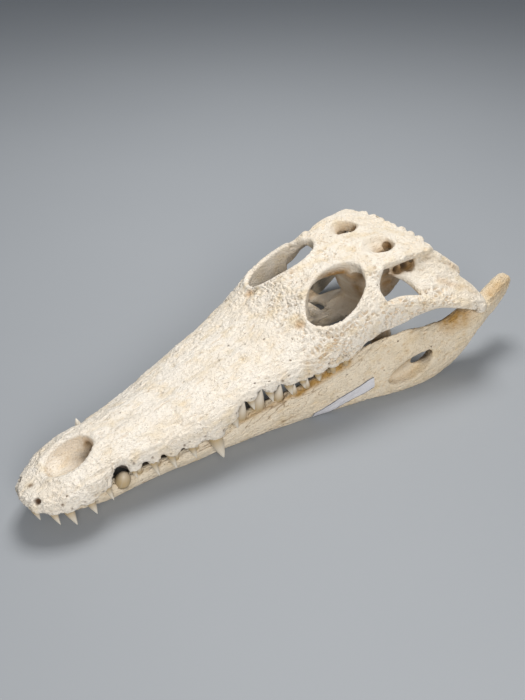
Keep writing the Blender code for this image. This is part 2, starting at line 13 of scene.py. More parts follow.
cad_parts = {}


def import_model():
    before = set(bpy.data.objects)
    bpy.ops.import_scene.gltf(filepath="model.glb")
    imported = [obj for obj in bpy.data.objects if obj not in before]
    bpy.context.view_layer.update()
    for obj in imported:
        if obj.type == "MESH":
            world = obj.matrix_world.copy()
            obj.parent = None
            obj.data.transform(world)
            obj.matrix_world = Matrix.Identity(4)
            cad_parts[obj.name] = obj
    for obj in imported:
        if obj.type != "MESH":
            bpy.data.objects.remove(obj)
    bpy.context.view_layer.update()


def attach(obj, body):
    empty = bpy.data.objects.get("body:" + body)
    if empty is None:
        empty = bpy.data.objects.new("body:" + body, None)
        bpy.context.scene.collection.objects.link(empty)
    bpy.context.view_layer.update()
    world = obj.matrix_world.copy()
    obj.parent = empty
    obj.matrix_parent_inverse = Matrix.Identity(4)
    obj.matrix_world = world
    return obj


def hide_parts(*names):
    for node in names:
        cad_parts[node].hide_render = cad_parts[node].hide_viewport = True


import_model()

# ---------------------------------------------------------------- sizes
MM = 0.001
OVERALL_LENGTH = 523.0
MIDLINE_GAP = 0.2
TOOTH_ROW_WIDTH = 9.0
VAULT_ENDS = (14.0, 302.0)  # back
VAULT_RISE = 6.0            # of the palate above the rim
VAULT_TAPER = 0.86          # its width at the top, as a share
SNOUT_ROOF = 12.0           # the least bone over it
CHEEK_ROUNDING = 10.0       # height of the rounded lower edge, at most
CHEEK_SHARE = 0.3           # and for the height of the face
CRANIUM_GRAIN = 1.55        # first net of faces over the bone
JAW_GRAIN = 1.35
CRANIUM_TRIANGLES = 192000
JAW_TRIANGLES = 120000
HIDDEN_OPENNESS = 0.35      # a place less open than this keeps a tenth of its faces
SKY_TILT = math.radians(35.0)       # of the slanting rays that measure how open a place is

# the snout and face, front to back: back, half width, top, lower rim
FACE = (
    (0.0, 4.5, 35.0, 29.5), (5.0, 16.0, 38.5, 26.0), (17.0, 26.8, 42.5, 23.0),
    (34.0, 34.0, 48.3, 22.0), (50.0, 35.8, 53.0, 24.0), (65.0, 33.0, 56.5, 28.5),
    (84.0, 34.2, 57.7, 30.0), (105.0, 38.0, 59.4, 30.0), (126.0, 42.6, 61.5, 29.5),
    (145.0, 47.5, 64.5, 31.0), (160.0, 51.4, 67.3, 30.5), (176.0, 51.2, 70.4, 39.0),
    (191.0, 51.0, 73.2, 52.0), (210.0, 53.5, 77.0, 54.0), (231.0, 58.8, 82.5, 54.5),
    (252.0, 64.5, 90.0, 54.5), (273.0, 70.0, 101.0, 57.5), (292.0, 74.0, 114.5, 59.5),
    (312.0, 77.0, 121.5, 66.0), (330.0, 78.5, 126.0, 72.0), (346.0, 80.0, 128.5, 75.0),
)
FACE_FULLNESS = (2.7, 2.1)  # roundness of the sections at the snout's tip and at the rear

# forms behind the face: back, half width, top, underside
TABLE = (
    (334.0, 24.0, 126.0, 113.0), (346.0, 41.0, 128.5, 115.0), (358.0, 47.5, 130.5, 116.5),
    (372.0, 52.5, 132.0, 118.0), (388.0, 55.0, 132.5, 118.5), (406.0, 57.0, 131.5, 118.0),
    (422.0, 58.5, 130.0, 116.5), (430.0, 56.0, 127.5, 117.5),
)
BRAINCASE = (
    (347.0, 12.0, 126.0, 106.0), (356.0, 16.0, 126.0, 97.0), (365.0, 19.5, 126.0, 84.0),
    (374.0, 22.0, 126.0, 66.0), (390.0, 23.0, 126.0, 50.0), (410.0, 25.0, 126.0, 50.0),
    (428.0, 27.0, 124.0, 68.0),
)
PALATE_BAR = (
    (236.0, 14.0, 72.0, 55.0), (270.0, 11.0, 66.0, 52.0), (310.0, 9.0, 60.5, 49.0),
    (345.0, 10.0, 60.0, 47.0), (372.0, 18.0, 66.0, 46.0), (396.0, 17.0, 66.0, 46.0),
    (406.0, 12.0, 64.0, 52.0),
)

# bars and plates of bone on each side: one edge, the other edge, half the thickness
BARS = {
    "jugal": (
        ((66, 322, 101), (73, 322, 76), 5.0), ((69, 343, 102), (76, 343, 76), 6.0),
        ((71, 362, 102.5), (80, 362, 77), 5.5), ((77, 378, 101), (85, 378, 82), 5.5),
        ((85, 398, 94), (90, 398, 83), 6.0), ((95, 420, 87), (98, 420, 78), 6.5),
        ((103, 440, 80), (105, 440, 71), 6.5)),
    "postorbital": (
        ((38, 345, 124), (51, 362, 124), 5.0), ((49, 342, 113), (56, 352, 113), 5.0),
        ((57, 334, 102), (66, 347, 102), 6.0), ((61, 331, 93), (72, 352, 93), 7.0)),
    "quadrate": (
        ((34, 396, 114), (52, 368, 118), 4.0), ((44, 412, 111), (64, 385, 106), 6.0),
        ((58, 430, 104), (80, 388, 97), 6.0), ((72, 446, 94), (95, 410, 87), 6.5),
        ((85, 456, 82), (107, 436, 79), 6.5), ((88, 459, 75), (111, 449, 75), 5.5)),
    "squamosal": (
        ((42, 416, 125), (40, 420, 106), 6.5), ((56, 429, 121), (55, 430, 102), 6.5),
        ((65, 441, 111), (64, 441, 95), 6.0), ((72, 454, 99), (70, 456, 88), 4.5)),
    "ear_shelf": (
        ((47, 408, 121), (58, 398, 108), 4.0), ((59, 424, 113), (71, 413, 102), 4.5),
        ((68, 438, 104), (80, 428, 94), 4.5), ((73, 448, 96), (86, 440, 87), 4.0)),
    "pterygoid": (
        ((6, 348, 60), (6, 402, 56), 6.0), ((24, 352, 54), (24, 400, 51), 4.5),
        ((42, 357, 42), (42, 392, 40), 4.0), ((52, 362, 33), (52, 386, 31), 4.5)),
    "strut": (
        ((64, 318, 84), (66, 336, 84), 5.0), ((55, 334, 68), (56, 352, 70), 5.0),
        ((49, 352, 50), (50, 366, 54), 5.0), ((46, 362, 38), (47, 380, 40), 4.0)),
    "occiput": (
        ((4, 425, 123), (4, 430, 86), 6.0), ((26, 426, 121), (26, 431, 88), 6.0),
        ((46, 432, 117), (46, 437, 89), 6.0), ((62, 443, 108), (62, 449, 88), 5.0)),
}

# level rings of each hole: z, centre x and back, radii x and back, and where
# there is one, the oval's lean towards the midline at the back
ORBIT = ((20.0, 29.5, 300.0, 15.5, 36.0, 0.0), (60.0, 31.0, 302.0, 17.0, 36.0, 0.0),
         (80.0, 36.5, 308.0, 19.5, 35.0, 0.0), (98.0, 37.5, 312.0, 23.8, 35.6, -0.1),
         (124.0, 37.5, 312.0, 23.8, 35.6, -0.1), (150.0, 37.5, 312.0, 23.8, 35.6, -0.1))
TEMPORAL_HOLE = ((76.0, 29.0, 392.0, 5.0, 7.0), (119.0, 28.0, 391.0, 5.0, 8.0),
                 (126.0, 26.0, 388.0, 9.5, 12.5), (132.0, 23.5, 383.5, 14.5, 18.0),
                 (150.0, 23.5, 383.5, 15.5, 19.0))
BROW_WINDOW = ((72.0, 14.0, 338.0, 17.0, 22.0), (79.0, 15.0, 335.0, 21.0, 37.0),
               (107.0, 15.0, 335.0, 21.0, 37.0), (113.0, 14.0, 335.0, 18.0, 32.0))
CHEEK_SPACE = ((20.0, 45.0, 356.0, 25.0, 22.0), (96.0, 45.0, 356.0, 23.0, 22.0),
               (116.0, 45.0, 356.0, 21.0, 20.0))
NOSTRIL = ((36.5, 0.0, 45.0, 9.5, 16.0), (41.0, 0.0, 45.0, 13.5, 20.0),
           (48.0, 0.0, 45.0, 16.0, 22.5), (70.0, 0.0, 45.0, 16.0, 22.5))
FANG_NOTCH = ((10.0, 32.0, 73.0, 12.0, 10.5), (30.0, 33.0, 73.0, 11.5, 10.5),
              (44.0, 37.5, 73.5, 8.0, 8.0), (62.0, 40.0, 74.0, 4.5, 4.5))
CONDYLE = ((68.0, 0.0, 430.0, 4.0, 5.0), (71.0, 0.0, 431.0, 8.0, 8.5),
           (79.0, 0.0, 431.0, 8.5, 9.0), (83.0, 0.0, 430.0, 5.0, 6.0))

# round tubes: x, back, z, radius
NOSE_PASSAGE = ((4.5, 58.0, 43.0, 4.0), (4.8, 72.0, 44.0, 4.2), (4.8, 86.0, 43.0, 3.0))
BRAIN_OPENING = ((0.0, 418.0, 92.0, 7.0), (0.0, 450.0, 92.0, 5.0))

# round hollows and knobs: place, radii
TEMPORAL_PIT = (((21.0, 400.0, 122.0), (6.0, 5.0, 5.0)),)
EAR_HOLLOWS = (((51.5, 380.0, 116.5), (7.0, 7.0, 3.4)), ((52.5, 394.0, 115.0), (7.5, 7.5, 4.2)),
               ((51.5, 410.0, 112.0), (8.5, 8.0, 5.0)))
TABLE_KNOBS = (((3.5, 428.0, 126.5), (5.0, 5.0, 4.5)), ((14.0, 430.0, 126.0), (5.0, 5.0, 4.5)),
               ((25.0, 431.0, 125.0), (5.0, 5.0, 4.5)), ((37.0, 430.0, 125.5), (5.5, 4.5, 4.0)))
FRONT_HOLE = (15.4, 6.8, 37.0)      # beside the snout's tip

# back, length, radius of each upper tooth
UPPER_TEETH = (
    (4.5, 14.0, 2.8), (15.0, 13.0, 3.2), (26.0, 16.0, 4.4), (43.5, 13.5, 4.2),
    (60.0, 14.0, 3.2), (85.5, 8.0, 2.4), (103.0, 15.0, 3.2), (119.0, 14.0, 3.4),
    (138.0, 12.0, 3.5), (161.0, 23.0, 6.6), (181.0, 13.0, 4.8), (200.0, 11.5, 4.0),
    (219.0, 11.5, 4.0), (238.0, 11.0, 4.2), (251.0, 8.0, 3.2), (266.0, 7.0, 3.2),
    (281.0, 6.0, 3.0), (295.0, 5.0, 2.8),
)

# one half of the lower jaw: back, outer x at the top and at the bottom, bulge,
# top, bottom, thickness
JAW = (
    (10.0, 5.5, 3.0, 0.0, 16.5, 12.5, 5.5), (17.0, 12.0, 6.0, 0.5, 17.0, 8.5, 12.0),
    (26.0, 17.5, 9.0, 1.0, 17.5, 4.5, 17.0), (45.0, 24.5, 14.5, 1.0, 18.0, 0.0, 22.0),
    (60.0, 28.5, 20.0, 1.0, 20.0, 0.0, 22.0), (70.0, 31.0, 22.0, 1.0, 21.5, 0.0, 20.0),
    (84.0, 27.5, 22.5, 1.0, 18.5, 0.0, 13.0), (105.0, 29.5, 25.0, 1.0, 17.5, 0.0, 13.0),
    (128.0, 35.0, 28.0, 1.0, 17.5, 0.0, 14.0), (150.0, 39.0, 34.0, 1.0, 20.0, 0.0, 15.0),
    (176.0, 41.5, 39.0, 1.0, 24.0, 0.0, 16.0), (201.0, 43.5, 45.0, 1.0, 28.0, 0.0, 16.0),
    (231.0, 50.0, 52.0, 1.0, 33.5, 0.0, 15.0), (265.0, 60.0, 61.0, 1.5, 40.0, 0.0, 14.0),
    (294.0, 64.5, 70.0, 2.0, 49.5, 0.0, 12.5), (326.0, 69.0, 80.0, 4.0, 56.0, 0.0, 12.0),
    (357.0, 77.0, 91.5, 6.0, 59.0, 0.0, 13.0), (380.0, 83.0, 98.0, 5.0, 59.0, 0.0, 14.0),
    (396.0, 88.0, 100.5, 4.0, 56.5, 0.0, 15.0), (420.0, 96.0, 103.0, 2.0, 57.0, 4.0, 18.0),
    (443.0, 106.0, 106.0, 0.0, 64.0, 18.0, 24.0), (457.0, 109.0, 106.0, 0.0, 67.0, 32.0, 26.0),
    (470.0, 106.0, 104.0, 0.0, 67.5, 38.0, 21.0), (485.0, 103.0, 102.0, 0.0, 71.5, 42.0, 18.0),
    (500.0, 101.0, 100.0, 0.0, 76.0, 47.0, 17.0), (513.0, 98.0, 97.0, 0.0, 76.0, 54.0, 15.0),
    (523.0, 93.0, 93.0, 0.0, 69.0, 61.0, 7.0),
)
# the window in the jaw's side: rings of centre x, back, z, radii, as a pocket
# in the outer face and as the passage behind its rear upper part
JAW_WINDOW_RISE = 0.22      # upwards towards the rear
JAW_WINDOW_FLARE = 0.22     # outwards towards the rear
JAW_WINDOW = ((112.0, 370.0, 27.0, 28.5, 13.0), (93.5, 370.0, 26.5, 27.0, 12.0),
              (86.0, 371.0, 26.0, 25.0, 10.4), (84.8, 371.0, 26.0, 22.5, 8.0))
JAW_PASSAGE = ((94.0, 385.5, 33.0, 10.5, 4.8), (84.0, 390.0, 29.0, 13.0, 7.0),
               (66.0, 405.0, 22.0, 14.0, 9.5))
JAW_POCKET_RIM = (370.0, 26.5, 28.5, 12.5)      # back, z, radii: the grain stops here

# the jaw joint's roller: x, back, z, radius
JOINT_ROLLER = ((86.0, 460.0, 72.0, 4.0), (93.0, 457.0, 71.0, 7.5),
                (105.0, 451.0, 71.0, 7.5), (112.5, 447.5, 72.0, 4.5))
ROLLER_MIDDLE = 99.0        # x
JOINT_GAP = 0.9

# back, length, radius, outward lean of each lower tooth
FANG_BACK = 72.0
LEFT_FANG = ((27.0, 76.0), (30.5, 77.0), 9.5, 6.8)      # worn: base, tip, length, radius
LOWER_TEETH = (
    (13.0, 6.0, 1.8, 0.5), (22.0, 6.0, 2.2, 0.5), (36.0, 9.5, 3.6, 1.5), (52.0, 8.5, 3.4, 1.0),
    (FANG_BACK, 30.0, 7.6, 14.5), (94.0, 10.5, 3.4, 1.0), (111.0, 11.0, 3.4, 1.0),
    (128.0, 11.0, 3.4, 1.0), (147.0, 10.0, 3.2, 1.0), (174.0, 11.0, 3.4, 3.0),
    (197.0, 20.0, 6.0, 5.5), (215.5, 22.0, 6.8, 6.0), (235.0, 16.0, 5.6, 4.0),
    (249.0, 9.0, 3.6, 1.5), (262.0, 8.0, 3.3, 1.0), (275.0, 6.0, 3.2, 1.0), (287.0, 5.0, 3.0, 1.0),
)

# where a tooth stands in from the bone's outer edge, and how far its tip lies
# outwards and back of its base for its length
UPPER_INSET = 1.2
LOWER_INSET = 1.9
FRONT_END = 12.0            # a tooth before this points more downwards
FRONT_LEAN, UPPER_LEAN = 0.1, 0.36
UPPER_BACK_LEAN, LOWER_BACK_LEAN = 0.15, 0.05
FANG_FORWARD = 0.5          # of the fang's tip, in all

# the hollow in the jaw around a lower tooth: its middle lies outwards and above
# the tooth's base
SOCKET_OUT, SOCKET_UP = 1.2, 1.5
SOCKET_GAP, SOCKET_HEIGHT = 1.4, 4.5

# arches in the upper rim that show the lower teeth: back, half width, height
ARCH_POINT = 1.25           # 1 is an oval, more is pointed
RIM_ARCHES = (
    (34.0, 5.5, 6.5), (51.0, 4.5, 5.0), (95.0, 5.4, 8.0), (110.5, 5.4, 8.0), (128.0, 5.2, 7.5),
    (147.5, 5.4, 7.0), (172.0, 5.5, 5.0), (189.5, 7.5, 6.5), (207.5, 7.5, 10.0), (226.5, 6.2, 7.5),
    (245.0, 4.2, 3.6), (259.0, 4.0, 3.4), (273.0, 3.6, 3.0),
    (318.0, 6.5, 7.5),
)

# the three forms of tooth and how round they are
POINTED, STOUT, WORN = 1.12, 1.35, 1.75
WORN_LENGTH = 2.3           # a tooth of fewer radii than this is worn
STOUT_LENGTH = 23.5         # a tooth longer than this is stout
WORN_COLOURS = 0.4          # a worn tooth keeps this much of the colours above its root
TOOTH_CURVE = 0.22          # how far the tip bends over, for its length
TOOTH_EDGES = 0.05          # height of the two low ridges
ROOT_WIDTH = 0.94

# back and height of the paper strip's upper edge at its two ends
LABEL_FRONT, LABEL_REAR = (264.5, 8.5), (328.5, 30.5)
LABEL_HEIGHT = 13.0
LABEL_LOWEST = 1.0          # its lower edge stays above the floor
LABEL_GAP, LABEL_THICKNESS = 0.5, 0.3
LABEL_FIELD = ((64, 260, 10), (84, 332, 28))    # the jaw has no cracks under it

# swellings and hollows that the plain forms lack: height, path, radius
SKULL_SWELLINGS = (
    (-2.2, ((0, 292, 114), (0, 338, 127)), 9.0), (-1.8, ((36, 272, 96), (31, 252, 90)), 8.0),
    (1.5, ((8, 23, 43), (14, 27, 46), (17, 38, 50), (17, 52, 54), (11, 64, 57)), 4.5),
    (-1.6, ((24, 84, 55), (27, 105, 55), (31, 128, 57)), 12.0),
    (1.2, ((10, 90, 59), (12, 150, 66), (14, 200, 75), (16, 245, 86)), 9.0),
    (-2.6, ((34, 72, 52), (31, 72, 56)), 11.0),
    (1.3, ((44, 352, 130), (54, 376, 131), (58, 402, 130), (58, 422, 128)), 5.0),
    (1.2, ((11, 372, 132), (13, 396, 132)), 6.0),
)
JAW_SWELLINGS = (
    (0.9, ((44, 190, 27), (50, 231, 31), (60, 265, 37), (66, 294, 45), (71, 326, 52), (79, 357, 55),
           (86, 384, 54)), 5.0),
    (-0.7, ((92, 345, 8), (97, 362, 8), (101, 392, 14)), 8.0),
    (1.1, ((84, 345, 37), (91, 372, 46), (97, 400, 44)), 7.0),
)

# the pitted band along the cheek, and the joint lines between the bones
CHEEK_BAND = ((56, 240, 70), (64, 262, 75), (72, 290, 84), (76, 322, 91), (79, 345, 92), (84, 370, 91),
              (91, 400, 89), (101, 432, 82))
JOINT_LINES = (
    ((9, 86, 58), (11, 110, 60), (13, 150, 65), (15, 200, 75), (16, 240, 85), (18, 264, 93)),
    ((5, 74, 57), (15, 76, 56), (25, 70, 51), (33, 66, 42)),
    ((0, 72, 58), (0, 140, 64), (0, 250, 88), (0, 300, 118)),
    ((42, 225, 76), (52, 250, 76), (64, 272, 72), (70, 290, 68)),
    ((24, 232, 85), (28, 256, 92), (33, 268, 98)),
    ((0, 348, 128), (14, 352, 129), (26, 348, 129), (38, 352, 128)),
    ((72, 396, 99), (86, 420, 93), (100, 442, 83)),
)

# ochre stains and painted shade: path, radius, ochre share, dark share. The dark share is painted shade in
# holes and hollows; the ochre share is ochre stain, and also painted shade on the shaded places marked below
CRANIUM_STAINS_AND_SHADE = (
    (((36, 269, 95),), 7.0, 0.7, 0.0), (((11, 302, 117),), 5.0, 0.45, 0.0),
    (((16, 362, 92),), 3.0, 0.9, 0.9), (((17, 364, 84), (20, 372, 76)), 13.0, 0.75, 0.0),
    (((52, 374, 117), (53, 393, 115), (50, 412, 110)), 7.5, 1.0, 0.35),
    (((47, 381, 116),), 9.0, 1.2, 1.0), (((47, 395, 114),), 10.0, 1.2, 1.0),
    (((46, 411, 110),), 10.5, 1.2, 1.0), (((5, 68, 46), (4, 76, 44)), 7.0, 1.0, 0.8),
    (((4, 63, 51),), 7.0, 0.7, 0.0), (((0, 10, 40),), 3.2, 0.8, 0.8), ((FRONT_HOLE,), 4.0, 0.0, 1.0),
    # painted shade in ochre and dark on the strut under the cheek, on the braincase wall and in the temporal
    # hole and pit
    (((50, 360, 42), (48, 378, 40), (58, 345, 66)), 13.0, 0.75, 0.3),
    (((24, 400, 86), (14, 412, 68)), 22.0, 0.75, 0.35), (((24, 385, 118),), 15.0, 0.45, 0.0),
    (((27, 391, 112), (28, 391, 100)), 9.0, 1.0, 0.4), (((21, 402, 121),), 7.5, 1.0, 0.45),
    (((78, 416, 100), (98, 446, 82)), 8.0, 0.45, 0.0), (((100, 440, 76), (90, 425, 74)), 9.0, 0.6, 0.0),
    (((17, 350, 100), (20, 372, 100)), 18.0, 0.8, 0.0),
    # painted shade in ochre and dark on the orbit's inner upper wall, the first place on the next line
    (((16, 318, 114), (19, 345, 115)), 9.0, 0.9, 0.35), (((72, 452, 95), (70, 440, 108)), 6.0, 0.3, 0.0),
)
JAW_STAINS_AND_SHADE = (
    (((94, 435, 62), (86, 424, 54)), 20.0, 0.9, 0.0), (((98, 480, 70), (99, 508, 74)), 16.0, 0.45, 0.0),
    (((54, 250, 37), (58, 275, 43), (64, 305, 51)), 7.5, 1.0, 0.0),
    (((40, 190, 27), (48, 225, 33), (54, 250, 37)), 5.0, 0.75, 0.0), (((105, 455, 66),), 9.0, 0.5, 0.0),
    # painted shade in ochre and dark in the jaw window's passage and on the floor of its pocket
    (((88, 391, 30), (80, 399, 24)), 11.0, 0.4, 0.95),
    (((82, 350, 24), (86, 368, 30), (89, 384, 35)), 8.0, 0.5, 0.3),
)


# ---------------------------------------------------------------- number helpers
def world(points):
    """Millimetres on the skull to the world's metres."""
    points = np.array(points, dtype=float)
    points[..., 1] -= OVERALL_LENGTH / 2.0
    return points * MM


def flow(rows, places):
    """Rows of numbers, read smoothly and without overshoot at new places."""
    table = np.array(rows, dtype=float)
    places = np.atleast_1d(np.asarray(places, dtype=float))
    knots, values = table[:, 0], table[:, 1:]
    step = np.diff(knots)[:, None]
    slope = np.diff(values, axis=0) / step
    tangent = np.zeros_like(values)
    tangent[0], tangent[-1] = slope[0], slope[-1]
    same_way = slope[:-1] * slope[1:] > 0.0
    total = np.where(same_way, slope[:-1] + slope[1:], 1.0)
    tangent[1:-1] = np.where(same_way, 2.0 * slope[:-1] * slope[1:] / total, 0.0)
    i = np.clip(np.searchsorted(knots, places) - 1, 0, len(knots) - 2)
    width = (knots[i + 1] - knots[i])[:, None]
    t = (places - knots[i])[:, None] / width
    return ((1 + 2 * t) * (1 - t) ** 2 * values[i] + t * (1 - t) ** 2 * width * tangent[i]
            + t * t * (3 - 2 * t) * values[i + 1] + t * t * (t - 1) * width * tangent[i + 1])


def power(value, exponent):
    """A signed power, for superellipses."""
    return np.copysign(np.abs(value) ** exponent, value)


def ramp(value, low, high):
    """0 below low, 1 above high, smooth between."""
    t = np.clip((value - low) / (high - low), 0.0, 1.0)
    return t * t * (3.0 - 2.0 * t)


def hashed(corners, seed):
    """One even number from 0 to 1 for each whole-number corner."""
    c = corners.astype(np.int64).astype(np.uint32)
    n = (c[:, 0] * np.uint32(374761393) + c[:, 1] * np.uint32(668265263)
         + c[:, 2] * np.uint32(2246822519) + np.uint32(seed * 40503 + 977))
    n = (n ^ (n >> np.uint32(13))) * np.uint32(1274126177)
    n = (n ^ (n >> np.uint32(15))) * np.uint32(2654435761)
    return (n ^ (n >> np.uint32(16))) / 4294967295.0


def clouds(points, seed, octaves=1):
    """Smooth noise from 0 to 1, one wave to the unit."""
    total, weight, size = np.zeros(len(points)), 0.0, 1.0
    for octave in range(octaves):
        cell = np.floor(points)
        t = points - cell
        t = t * t * (3.0 - 2.0 * t)
        value = np.zeros(len(points))
        for corner in range(8):
            step = np.array([corner & 1, corner >> 1 & 1, corner >> 2 & 1])
            share = np.prod(np.where(step, t, 1.0 - t), axis=1)
            value += share * hashed(cell + step, seed + octave)
        total += value * size
        weight += size
        size *= 0.5
        points = points * 2.03 + 7.1
    return total / weight


def cells(points, seed, jitter=0.7):
    """Distance to the nearest seed and to the second, and the nearest one's own number."""
    cell = np.floor(points)
    first = np.full(len(points), 9.0)
    second = np.full(len(points), 9.0)
    owner = np.zeros(len(points))
    for step in np.ndindex(3, 3, 3):
        near = cell + np.array(step) - 1.0
        place = np.stack([hashed(near, seed + k) for k in range(3)], axis=1)
        distance = np.linalg.norm(near + (1.0 - jitter) / 2.0 + jitter * place - points, axis=1)
        closer = distance < first
        second = np.where(closer, first, np.minimum(second, distance))
        owner = np.where(closer, hashed(near, seed + 5), owner)
        first = np.where(closer, distance, first)
    return first, second, owner


def ridges(points, seed, octaves, steepness):
    """Noise with sharp crests at 1 and valleys below 0, one wave to the unit."""
    return 1.0 - steepness * np.abs(2.0 * clouds(points, seed, octaves) - 1.0)


def hollows(found, wall, share):
    """Hollows with narrow walls between them, in a share of the cells."""
    first, second, owner = found
    return ramp(second - first, *wall) * ramp(owner, *share)


def dots(found, size, share):
    """Round dots in a share of the cells."""
    first, second, owner = found
    return (1.0 - ramp(first, *size)) * ramp(owner, *share)


def along_path(points, path):
    """For each point the length run along a path and the distance to it."""
    path = np.array(path, dtype=float)
    best = np.linalg.norm(points - path[0], axis=1)
    run = np.zeros(len(points))
    past = 0.0
    for start, end in zip(path, path[1:]):
        along = end - start
        length = np.linalg.norm(along)
        t = np.clip((points - start) @ along / (along @ along), 0.0, 1.0)
        distance = np.linalg.norm(points - start - t[:, None] * along, axis=1)
        run = np.where(distance < best, past + t * length, run)
        best = np.minimum(best, distance)
        past += length
    return run, best


def touch(points, path, radius):
    """1 on a path, falling smoothly to 0 at the radius."""
    path = np.array(path, dtype=float)
    near = np.all((points > path.min(0) - radius) & (points < path.max(0) + radius), axis=1)
    result = np.zeros(len(points))
    if near.any():
        share = np.clip(along_path(points[near], path)[1] / radius, 0.0, 1.0)
        result[near] = (1.0 - share * share) ** 2
    return result


def swell(points, swellings):
    """Height of all swellings and hollows together at each point."""
    return sum(height * touch(points, path, radius) for height, path, radius in swellings)


# ---------------------------------------------------------------- modelling helpers
def alone(thing):
    """Select only this object."""
    bpy.ops.object.select_all(action="DESELECT")
    thing.select_set(True)
    bpy.context.view_layer.objects.active = thing


def outwards(thing):
    """Turn all faces of a closed mesh outwards."""
    alone(thing)
    bpy.ops.object.mode_set(mode="EDIT")
    bpy.ops.mesh.select_all(action="SELECT")
    bpy.ops.mesh.normals_make_consistent(inside=False)
    bpy.ops.object.mode_set(mode="OBJECT")


def finish_with(thing, kind, **settings):
    """Put a modifier on an object and apply it."""
    alone(thing)
    step = thing.modifiers.new(kind.lower(), kind)
    for name, value in settings.items():
        setattr(step, name, value)
    bpy.ops.object.modifier_apply(modifier=step.name)


def roll_up(name, rings):
    """A closed form: a flat grid rolled up through rings of points."""
    rings = np.array(rings, dtype=float)
    count, around = rings.shape[:2]
    bpy.ops.object.select_all(action="DESELECT")
    bpy.ops.mesh.primitive_grid_add(x_subdivisions=around, y_subdivisions=count - 1, size=1.0)
    thing = bpy.context.object
    thing.name = name
    closed = np.concatenate([rings, rings[:, :1]], axis=1)
    thing.data.vertices.foreach_set("co", world(closed).ravel())
    bpy.ops.object.mode_set(mode="EDIT")
    bpy.ops.mesh.select_all(action="SELECT")
    bpy.ops.mesh.remove_doubles(threshold=1e-6)
    bpy.ops.mesh.fill_holes(sides=0)
    bpy.ops.object.mode_set(mode="OBJECT")
    outwards(thing)
    return thing


def combine(thing, tool, operation):
    """Join or cut an object with a tool, which is then gone."""
    finish_with(thing, "BOOLEAN", operation=operation, solver="MANIFOLD", object=tool)
    bpy.data.objects.remove(tool, do_unlink=True)


def turns(count):
    """Even angles around a full turn."""
    return np.arange(count) * (2.0 * math.pi / count)


def hoop(centre, first, second, around):
    """An oval ring of points about a centre, between two half axes."""
    turn = turns(around)[:, None]
    return np.array(centre) + np.cos(turn) * first + np.sin(turn) * second


def level_shaft(name, levels, side=1, around=48, rings=30):
    """A form of oval level rings."""
    heights = np.linspace(levels[0][0], levels[-1][0], rings)
    loops = []
    for z, (x, back, wide, long, *lean) in zip(heights, flow(levels, heights)):
        slant = side * sum(lean) * long
        loops.append(hoop((side * x, back, z), (side * wide, 0.0, 0.0), (slant, long, 0.0), around))
    return roll_up(name, loops)


def tube(name, rings, side=1, around=24):
    """A round tube from front to back."""
    return roll_up(name, [hoop((side * x, back, z), (radius, 0.0, 0.0), (0.0, 0.0, radius), around)
                          for x, back, z, radius in rings])


def slab(name, rows, fullness, around=64, rings=60):
    """A form of upright superellipse sections: back, half width, top, underside."""
    places = np.linspace(rows[0][0], rows[-1][0], rings)
    turn = turns(around)
    loops = []
    for place, (half, top, under) in zip(places, flow(rows, places)):
        x = half * power(np.cos(turn), 2.0 / fullness)
        z = (top + under) / 2.0 + (top - under) / 2.0 * power(np.sin(turn), 2.0 / fullness)
        loops.append(np.stack([x, np.full(around, place), z], axis=1))
    return roll_up(name, loops)


def bar(name, rows, side, around=32, steps=9):
    """A bar or plate of bone between two edges."""
    table = [(i, *row[0], *row[1], row[2]) for i, row in enumerate(rows)]
    numbers = flow(table, np.linspace(0, len(rows) - 1, steps * (len(rows) - 1) + 1))
    centres = (numbers[:, 0:3] + numbers[:, 3:6]) / 2.0
    ahead = np.gradient(centres, axis=0)
    across = (numbers[:, 3:6] - numbers[:, 0:3]) / 2.0
    normal = np.cross(across, ahead)
    normal *= (numbers[:, 6] / np.linalg.norm(normal, axis=1))[:, None]
    turn = turns(around)
    loops = (centres[:, None] + across[:, None] * power(np.cos(turn), 0.8)[None, :, None]
             + normal[:, None] * power(np.sin(turn), 0.8)[None, :, None])
    loops[..., 0] *= side
    return roll_up(name, loops)


def roller(name, grow, side):
    """The roller of the jaw joint, or the socket for it when grown."""
    rows = [(i, *row) for i, row in enumerate(JOINT_ROLLER)]
    loops = []
    for x, back, z, radius in flow(rows, np.linspace(0, len(rows) - 1, 22)):
        x += grow if x > ROLLER_MIDDLE else -grow
        radius += grow
        loops.append(hoop((side * x, back, z), (0.0, radius, 0.0), (0.0, 0.0, radius), 32))
    return roll_up(name, loops)


def points_of(thing):
    """The points of a mesh in millimetres on the skull."""
    flat = np.empty(len(thing.data.vertices) * 3)
    thing.data.vertices.foreach_get("co", flat)
    points = flat.reshape(-1, 3) / MM
    points[:, 1] += OVERALL_LENGTH / 2.0
    return points


def normals_of(thing):
    """The direction in which each point of a mesh faces."""
    flat = np.empty(len(thing.data.vertices) * 3)
    thing.data.vertices.foreach_get("normal", flat)
    return flat.reshape(-1, 3)


def put_points(thing, points):
    """Move a mesh's points to places in millimetres on the skull."""
    thing.data.vertices.foreach_set("co", world(points).ravel())
    thing.data.update()


def put_values(thing, name, values):
    """Keep one number for each point of a mesh, for its material."""
    layer = thing.data.attributes.get(name) or thing.data.attributes.new(name, "FLOAT", "POINT")
    layer.data.foreach_set("value", np.asarray(values, dtype=np.float32))


def values_of(thing, name):
    """The number kept for each point of a mesh."""
    values = np.empty(len(thing.data.vertices), dtype=np.float32)
    thing.data.attributes[name].data.foreach_get("value", values)
    return values.astype(float)


def mirrored(points):
    """Points brought to the animal's left side."""
    return np.abs(points[:, :1]) * [[1.0, 0.0, 0.0]] + points * [[0.0, 1.0, 1.0]]


def ray_tree(mesh):
    """A mesh as rays meet it."""
    return BVHTree.FromPolygons([v.co for v in mesh.vertices], [p.vertices for p in mesh.polygons])


